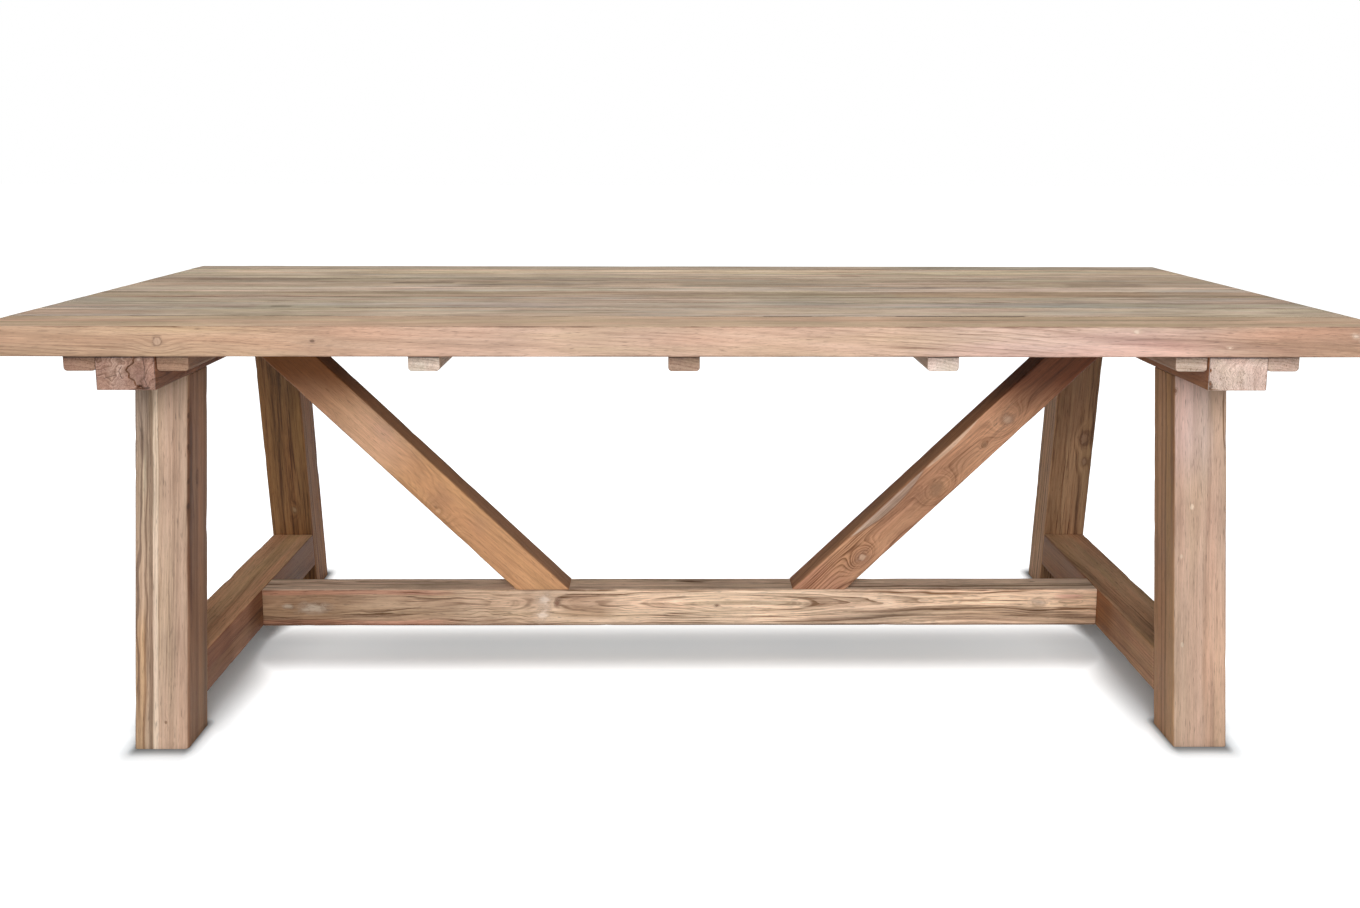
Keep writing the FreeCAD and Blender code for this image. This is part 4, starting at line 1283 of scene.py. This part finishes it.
STRETCHER_STRETCHES = (
    ((0.455, 0.29, 0.184), 0.9, -9, -0.12, 0.48), ((0.678, 0.44, 0.28), 1, -9, -0.66, 0.12),
    ((0.985, 0.718, 0.508), 1, -0.08, 0.34, 0.12), ((1.075, 0.745, 0.522), 0.9, 0.38, 9, 0.3),
    ((0.69, 0.47, 0.32), 0.9, 0.8, 9, 0.04), ((0.7, 0.48, 0.332), 0.8, -0.35, -0.305),
    ((0.96, 0.705, 0.515), 0.8, -0.5, -0.4, 0.04),
)
STRETCHER_STRIPS = (
    (0.004, 0.022, 0.014, (0.52, 0.325, 0.212), 0.85, -0.285, -0.12, 0.06, 0.01),
    (-0.024, 0.01, 0.01, (0.669, 0.451, 0.31), 0.8, 0.54, 9, 0.08, 0.004),
    (0.02, 0.008, 0.01, (0.67, 0.465, 0.325), 0.8, -0.76, -0.65, 0.04, 0.004),
    (-0.003, 0.006, 0.006, (0.42, 0.28, 0.185), 0.85, 0.34, 0.96, 0.12, 0.004, (0.62, 0.3)),
    (-0.02, 0.004, 0.005, (0.46, 0.31, 0.21), 0.7, 0.2, 0.9, 0.12, 0.004, (0.55, 0.12)),
    (0.024, 0.003, 0.004, (0.74, 0.42, 0.33), 0.7, 0.8, 0.885, 0.03, 0.003),
    (-0.039, 0.002, 0.003, (0.22, 0.13, 0.09), 0.7, *ALL_LONG, 0.002),
    (-0.033, 0.004, 0.003, (0.98, 0.56, 0.41), 0.8, -9, -0.46, 0.1, 0.004),
    (0.035, 0.004, 0.003, (1.05, 0.6, 0.45), 0.8, -9, -0.46, 0.1, 0.004),
    (0.012, 0.0025, 0.004, (0.36, 0.26, 0.16), 0.6, -0.02, 0.3, 0.06, 0.003, (0.14, 0.25)),
)
# Places on the stretcher's front face, along and up, with the rest of each swell or knot.
STRETCHER_SWELLS = (
    (0.14, 0.010, (0.20, 0.08, 0.028), -0.014), (0.62, -0.040, (0.22, 0.08, 0.030), 0.014),
    (-0.52, -0.025, (0.045, 0.08, 0.014), 0.004), (-0.43, -0.008, (0.025, 0.08, 0.010), 0.004),
    (-0.36, -0.022, (0.030, 0.08, 0.012), 0.004))
STRETCHER_KNOTS = (
    (-0.293, 0.015, 0.017, *PALE_KNOT, 0.004, 3.0, 0.9, 1.0),
    (-0.298, -0.015, 0.015, *PALE_KNOT, 0.002, 2.6, 0.8, 1.1),
    (-0.267, 0.011, 0.0085, (0.26, 0.15, 0.10), (0.25, 0.13, 0.085), 0.001, 2.0, 0.3, 0.7),
    (-0.79, 0.000, 0.011, (0.42, 0.30, 0.215), (0.58, 0.45, 0.34), 0.002, 7.0, 0.9, 2.8),
    (-0.845, 0.004, 0.005, (0.44, 0.32, 0.23), (0.54, 0.42, 0.31), 0.002, 6.0, 0.9, 2.0),
    (0.078, 0.004, 0.0035, (0.24, 0.14, 0.09), (0.28, 0.16, 0.10), 0.001, 5.0),
    (0.775, 0.012, 0.006, (0.66, 0.46, 0.33), (0.80, 0.60, 0.45), 0.002, 8.0, 0.9, 3.2))


def on_face(kind, y, rows):
    """Swells or knots on a face at y, from rows that begin with their places along and up."""
    return [kind((along, y, level), *rest) for along, level, *rest in rows]


def stretcher_holes():
    """Barrel-nut holes and the pockets of the screws into the braces' feet, all from below."""
    holes = []
    for name, side in SIDES:
        nut = (side * (beam_inner_x - BARREL_NUT_SETBACK), 0, rail_underside)
        holes.append((nut, PLUS_Z, BARREL_NUT_HOLE_DEPTH, BARREL_NUT_RADIUS))
        for step in (0, 1):
            screw = (side * (brace_foot_middle_x + step * FOOT_SCREW_PITCH), 0, rail_underside)
            holes.append((screw, PLUS_Z, FOOT_SCREW_POCKET, SCREW_POCKET_RADIUS))
    return holes


def build_stretcher():
    # The tint on the top face is painted shade, for the table's top above it.
    look = Look(
        (0.858, 0.610, 0.431), (0.26, 0.20, 0.15), (1.25, 1.33, 1.40), pith=(0.015, 0.010), taper=0.004,
        figure=330.0, lines=300.0, veins=520.0, line_strength=0.8, wander=0.005, ripple=0.0062,
        contrast=0.95, streaks=0.80, swells=on_face(Swell, -stretcher_half_depth, STRETCHER_SWELLS),
        knots=on_face(Knot, -stretcher_half_depth, STRETCHER_KNOTS),
        bands=stretches(MINUS_Y, *STRETCHER_STRETCHES) + strips("z", MINUS_Y, *STRETCHER_STRIPS),
        tints=(Tint(PLUS_Z, (0.86, 0.89, 0.93)),))
    drill(dress(stretcher(arris=ROUNDED, seed=55), look), stretcher_holes())


# Painted shadow of the top over the left brace's head, by height on every face.
LEFT_BRACE_SHADE = (
    (0.7, 0.07, 0.098, (0.24, 0.081, 0.016), 0.98),
)
LEFT_BRACE_STRIPS = (
    (-0.006, 0.014, 0.016, (0.5, 0.262, 0.135), 0.75, 0.215, 0.285, 0.03, 0.02),
    (0.012, 0.01, 0.014, (0.56, 0.3, 0.16), 0.65, 0.12, 0.19, 0.03, 0.02),
    (0.02, 0.012, 0.012, (0.58, 0.31, 0.17), 0.6, 0.4, 0.48, 0.04, 0.018),
    (-0.036, 0.002, 0.004, (0.4, 0.2, 0.09), 0.6, 0.1, 0.4, 0.08),
)
# The stretch from 0.5 up to the head is painted shade under the top.
LEFT_BRACE_STRETCHES = (
    ((0.76, 0.445, 0.275), 0.95, 0.31, 0.6, 0.12), ((0.585, 0.308, 0.178), 0.9, 0.5, 9, 0.12),
)
LEFT_BRACE_SWELLS = (
    (0.235, -0.040, (0.050, 0.04, 0.045), 0.036), (0.34, 0.00, (0.03, 0.04, 0.03), -0.016))
LEFT_BRACE_KNOTS = (
    (0.240, -0.030, 0.010, (0.46, 0.22, 0.10), (0.72, 0.42, 0.23), 0.010, 3.0, 0.5, 1.2),
    (0.318, 0.006, 0.010, (0.54, 0.28, 0.14), (0.62, 0.33, 0.17), 0.008, 3.0, 0.5, 1.4),
    (0.270, 0.016, 0.007, (0.54, 0.28, 0.14), (0.60, 0.32, 0.16), 0.006, 3.0, 0.5, 1.4))
# The same painted shadow over the right brace's head.
RIGHT_BRACE_SHADE = (
    (0.7, 0.086, 0.1, (0.144, 0.046, 0.018), 0.98),
)
RIGHT_BRACE_STRIPS = (
    (0.041, 0.0205, 0.003, (0.3, 0.16, 0.1), 0.7, 0.07, 0.31, 0.02, 0.002, (0.195, -1.5)),
    (0.041, 0.018, 0.002, SLIVER, 1, 0.07, 0.31, 0.02, 0.002, (0.195, -1.4)),
    (0.041, 0.01, 0.002, SLIVER, 0.9, 0.3, 0.47, 0.02, 0.002, (0.375, -1.1)),
)
# The stretch from 0.5 up to the head is painted shade under the top.
RIGHT_BRACE_STRETCHES = (
    ((0.452, 0.224, 0.124), 0.9, 0.11, 0.32, 0.06), ((0.67, 0.355, 0.204), 0.95, 0.34, 0.58, 0.1),
    ((0.6, 0.296, 0.16), 0.95, 0.5, 9, 0.1), ((0.48, 0.225, 0.134), 0.8, -9, 0.04, 0.06),
)
RIGHT_BRACE_KNOTS = (
    (0.075, -0.012, 0.0130, *PALE_EYE, 0.034, 5.0, 0.95, 1.1),
    (0.293, -0.014, 0.0150, *DARK_EYE, 0.040, 5.5, 0.95, 1.2),
    (0.500, -0.003, 0.0135, *PALE_EYE, 0.034, 5.0, 0.95, 1.1),
    (0.430, -0.012, 0.0040, *DARK_EYE, 0.012, 5.0, 0.8, 1.4))


def brace_head_holes(side):
    """Level pockets that run from the brace's upper face to the heads of its two screws."""
    height = (beam_underside + batten_underside) / 2
    start = side * (beam_inner_x - HEAD_SCREW_GRIP - HEAD_POCKET_RUN)
    mouths = [(start, turn * HEAD_SCREW_PITCH / 2, height) for turn in (-1, 1)]
    return [(mouth, (side, 0, 0), HEAD_POCKET_RUN, SCREW_POCKET_RADIUS) for mouth in mouths]


def build_brace(name, side, seed, shade, wide, narrow, **settings):
    """Brace with its screw pockets; shade, wide and narrow are rows of its bands; shade is the painted
    shadow of the top over its head.
    """
    front = (0, -side, 0)
    bands = strips("height", EVERY_FACE, *shade) + stretches(front, *wide) + strips("z", front, *narrow)
    timber = brace(name, side, arris=ROUNDED, seed=seed)
    drill(dress(timber, Look(bands=bands, **settings)), brace_head_holes(side))


def build_braces():
    # The tints on the braces' upper faces are painted shade under the top.
    depth = stretcher_half_depth
    build_brace("brace_left", -1, 51, LEFT_BRACE_SHADE, LEFT_BRACE_STRETCHES, LEFT_BRACE_STRIPS,
                base=(0.655, 0.345, 0.170), pith=(-0.06, -0.10), figure=60.0, contrast=0.26, streaks=0.14,
                ripple=0.009, hue=0.3, line_strength=0.16, lines=110.0,
                swells=on_face(Swell, depth, LEFT_BRACE_SWELLS),
                knots=on_face(Knot, depth, LEFT_BRACE_KNOTS), tints=(Tint(PLUS_Z, (0.64, 0.61, 0.64)),))
    build_brace("brace_right", 1, 52, RIGHT_BRACE_SHADE, RIGHT_BRACE_STRETCHES, RIGHT_BRACE_STRIPS,
                base=(0.520, 0.264, 0.146), pith=(0.03, -0.07), figure=150.0, contrast=0.80, streaks=0.6,
                ripple=0.006, line_strength=0.8, lines=240.0,
                knots=on_face(Knot, -depth, RIGHT_BRACE_KNOTS), tints=(Tint(PLUS_Z, (0.74, 0.70, 0.64)),))


PEG_NODES = ("board_dowels", "leg_pegs", "rail_pegs", "bolt_cover_plugs")
ZINC_NODES = ("batten_screws", "coach_screws", "coach_screw_washers", "stretcher_bolts",
              "stretcher_bolt_washers", "stretcher_barrel_nuts", "brace_foot_screws", "brace_head_screws")


def dress_small_parts():
    """Materials for the CAD nodes that stay as they are."""
    zinc = steel("zinc_plated_steel")
    peg = plug_wood("peg_teak", (0.22, 0.13, 0.08), (0.42, 0.27, 0.18))
    plug = plug_wood("edge_plug_teak", (0.38, 0.235, 0.155), (0.54, 0.36, 0.25))
    for nodes, material in ((PEG_NODES, peg), (("edge_plug",), plug), (ZINC_NODES, zinc)):
        for node in nodes:
            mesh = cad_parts[node].data
            mesh.materials.clear()
            mesh.materials.append(material)


# ---- Stage ----------------------------------------------------------------------------------------------
def camera_only(g):
    """1 for rays that the camera, a gloss or glass sends, 0 for the light that falls on the object."""
    rays = g.node("LightPath")
    seen = g.math("MAXIMUM", g.out(rays, "Is Camera Ray"), g.out(rays, "Is Glossy Ray"))
    return g.math("MAXIMUM", seen, g.out(rays, "Is Transmission Ray"))


def away_from_box(g, x, y, half_x, half_y):
    """Distance on the floor from a rectangle about the origin."""
    over_x = g.math("MAXIMUM", abs(x) - half_x, 0.0)
    over_y = g.math("MAXIMUM", abs(y) - half_y, 0.0)
    return g.math("SQRT", over_x ** 2 + over_y ** 2)


def away_from_feet(g, from_trestle, y):
    """Distance on the floor from the nearest foot, longer sideways than to its front or rear."""
    from_middle = (abs(y) - (-foot_front_y - leg_run / 2)) * FEET_Y_SHARE
    return away_from_box(g, from_trestle, from_middle, leg_width / 2 - FEET_TRIM, leg_run / 2 * FEET_Y_SHARE)


def build_floor():
    """Pale floor that is plain white for the camera away from the base; its glow is held back in zones drawn
    round the stretcher, rails and feet, where the shadows show, and round the feet its colour is darkened
    with painted shade.
    """
    mesh = bpy.data.meshes.new("floor")
    corners = [(x * FLOOR_REACH, y * FLOOR_REACH, 0) for x, y in ((-1, -1), (1, -1), (1, 1), (-1, 1))]
    mesh.from_pydata(corners, [], [(0, 1, 2, 3)])
    floor = add_object("floor", mesh)
    g = Graph(bpy.data.materials.new("floor_white"))
    x, y, z = g.split(g.out(g.node("TexCoord"), "Object"))
    from_trestle = abs(x) - trestle_x
    from_rail = away_from_box(g, from_trestle, y, RAIL_SHADOW_HALF, -foot_front_y - leg_run)
    from_feet = away_from_feet(g, from_trestle, y)
    from_line = away_from_box(g, x, y - SHADOW_LINE_Y, trestle_x, SHADOW_LINE_HALF)
    feet_fade = g.smooth(y, *FADE_TURNS, *FEET_FADES)
    rail_fade = g.smooth(y, *FADE_TURNS, *RAIL_FADES)
    plain = g.math("MINIMUM", g.smooth(from_feet, 0.0, feet_fade, FEET_FILL, 1.0),
                   g.smooth(from_rail, 0.0, rail_fade, FEET_FILL, 1.0))
    line_fill = g.smooth(abs(x), *LINE_TURNS, *LINE_FILLS)
    plain = g.math("MINIMUM", plain, g.smooth(from_line, 0.0, LINE_FADE, line_fill, 1.0))
    painted_contact_shade = g.smooth(from_feet, 0.0, CONTACT_FADE, CONTACT_SHADE, 1.0)
    seen = camera_only(g)
    level = painted_contact_shade * (seen * (1 - FLOOR_BOUNCE) + FLOOR_BOUNCE)
    tone = g.mix(1.0, FLOOR_TINT, g.join(level, level, level), "MULTIPLY")
    matte = g.node("BsdfDiffuse", {"Color": tone})
    glow = g.node("Emission", {"Strength": seen * plain * painted_contact_shade})
    mesh.materials.append(g.finish(g.node("AddShader", {0: g.out(matte), 1: g.out(glow)})))


def build_world():
    """White behind the table, and a soft level of light on it."""
    world = bpy.data.worlds.new("studio")
    bpy.context.scene.world = world
    g = Graph(world)
    soft = g.node("Background", {"Color": (1, 1, 1), "Strength": WORLD_LEVEL})
    white = g.node("Background", {"Color": (1, 1, 1), "Strength": 1.0})
    seen = g.out(g.node("LightPath"), "Is Camera Ray")
    g.finish(g.node("MixShader", {0: seen, 1: g.out(soft), 2: g.out(white)}))


def softbox(name, place, target, size, power):
    """Large rectangular lamp aimed at a point."""
    lamp = bpy.data.lights.new(name, "AREA")
    lamp.shape = "RECTANGLE"
    lamp.size, lamp.size_y = size
    lamp.energy = power
    holder = add_object(name, lamp)
    holder.location = place
    aim = Vector(target) - Vector(place)
    holder.rotation_euler = aim.to_track_quat("-Z", "Y").to_euler()


def build_camera():
    data = bpy.data.cameras.new("camera")
    data.sensor_width = SENSOR_WIDTH
    data.lens = FOCAL_PIXELS * SENSOR_WIDTH / IMAGE_WIDTH
    data.shift_y = -(IMAGE_HEIGHT / 2 - LEVEL_ROW) / IMAGE_WIDTH
    data.clip_end = CLIP_END
    camera = add_object("camera", data)
    level = math.cos(CAMERA_PITCH)
    forward = Vector((math.sin(CAMERA_YAW) * level, math.cos(CAMERA_YAW) * level, -math.sin(CAMERA_PITCH)))
    right = Vector((math.cos(CAMERA_YAW), -math.sin(CAMERA_YAW), 0))
    up = right.cross(forward)
    rolled_right = right * math.cos(CAMERA_ROLL) + up * math.sin(CAMERA_ROLL)
    rolled_up = up * math.cos(CAMERA_ROLL) - right * math.sin(CAMERA_ROLL)
    turned = Matrix((rolled_right, rolled_up, -forward)).transposed().to_4x4()
    camera.matrix_world = Matrix.Translation(CAMERA_PLACE) @ turned
    bpy.context.scene.camera = camera


build_camera()
build_floor()
build_world()
for row in SOFTBOXES:
    softbox(*row)
build_top()
build_battens()
build_beams()
build_front_legs()
build_rear_legs()
build_rails()
build_stretcher()
build_braces()
dress_small_parts()
bpy.context.scene.view_settings.view_transform = "Standard"
bpy.context.view_layer.update()
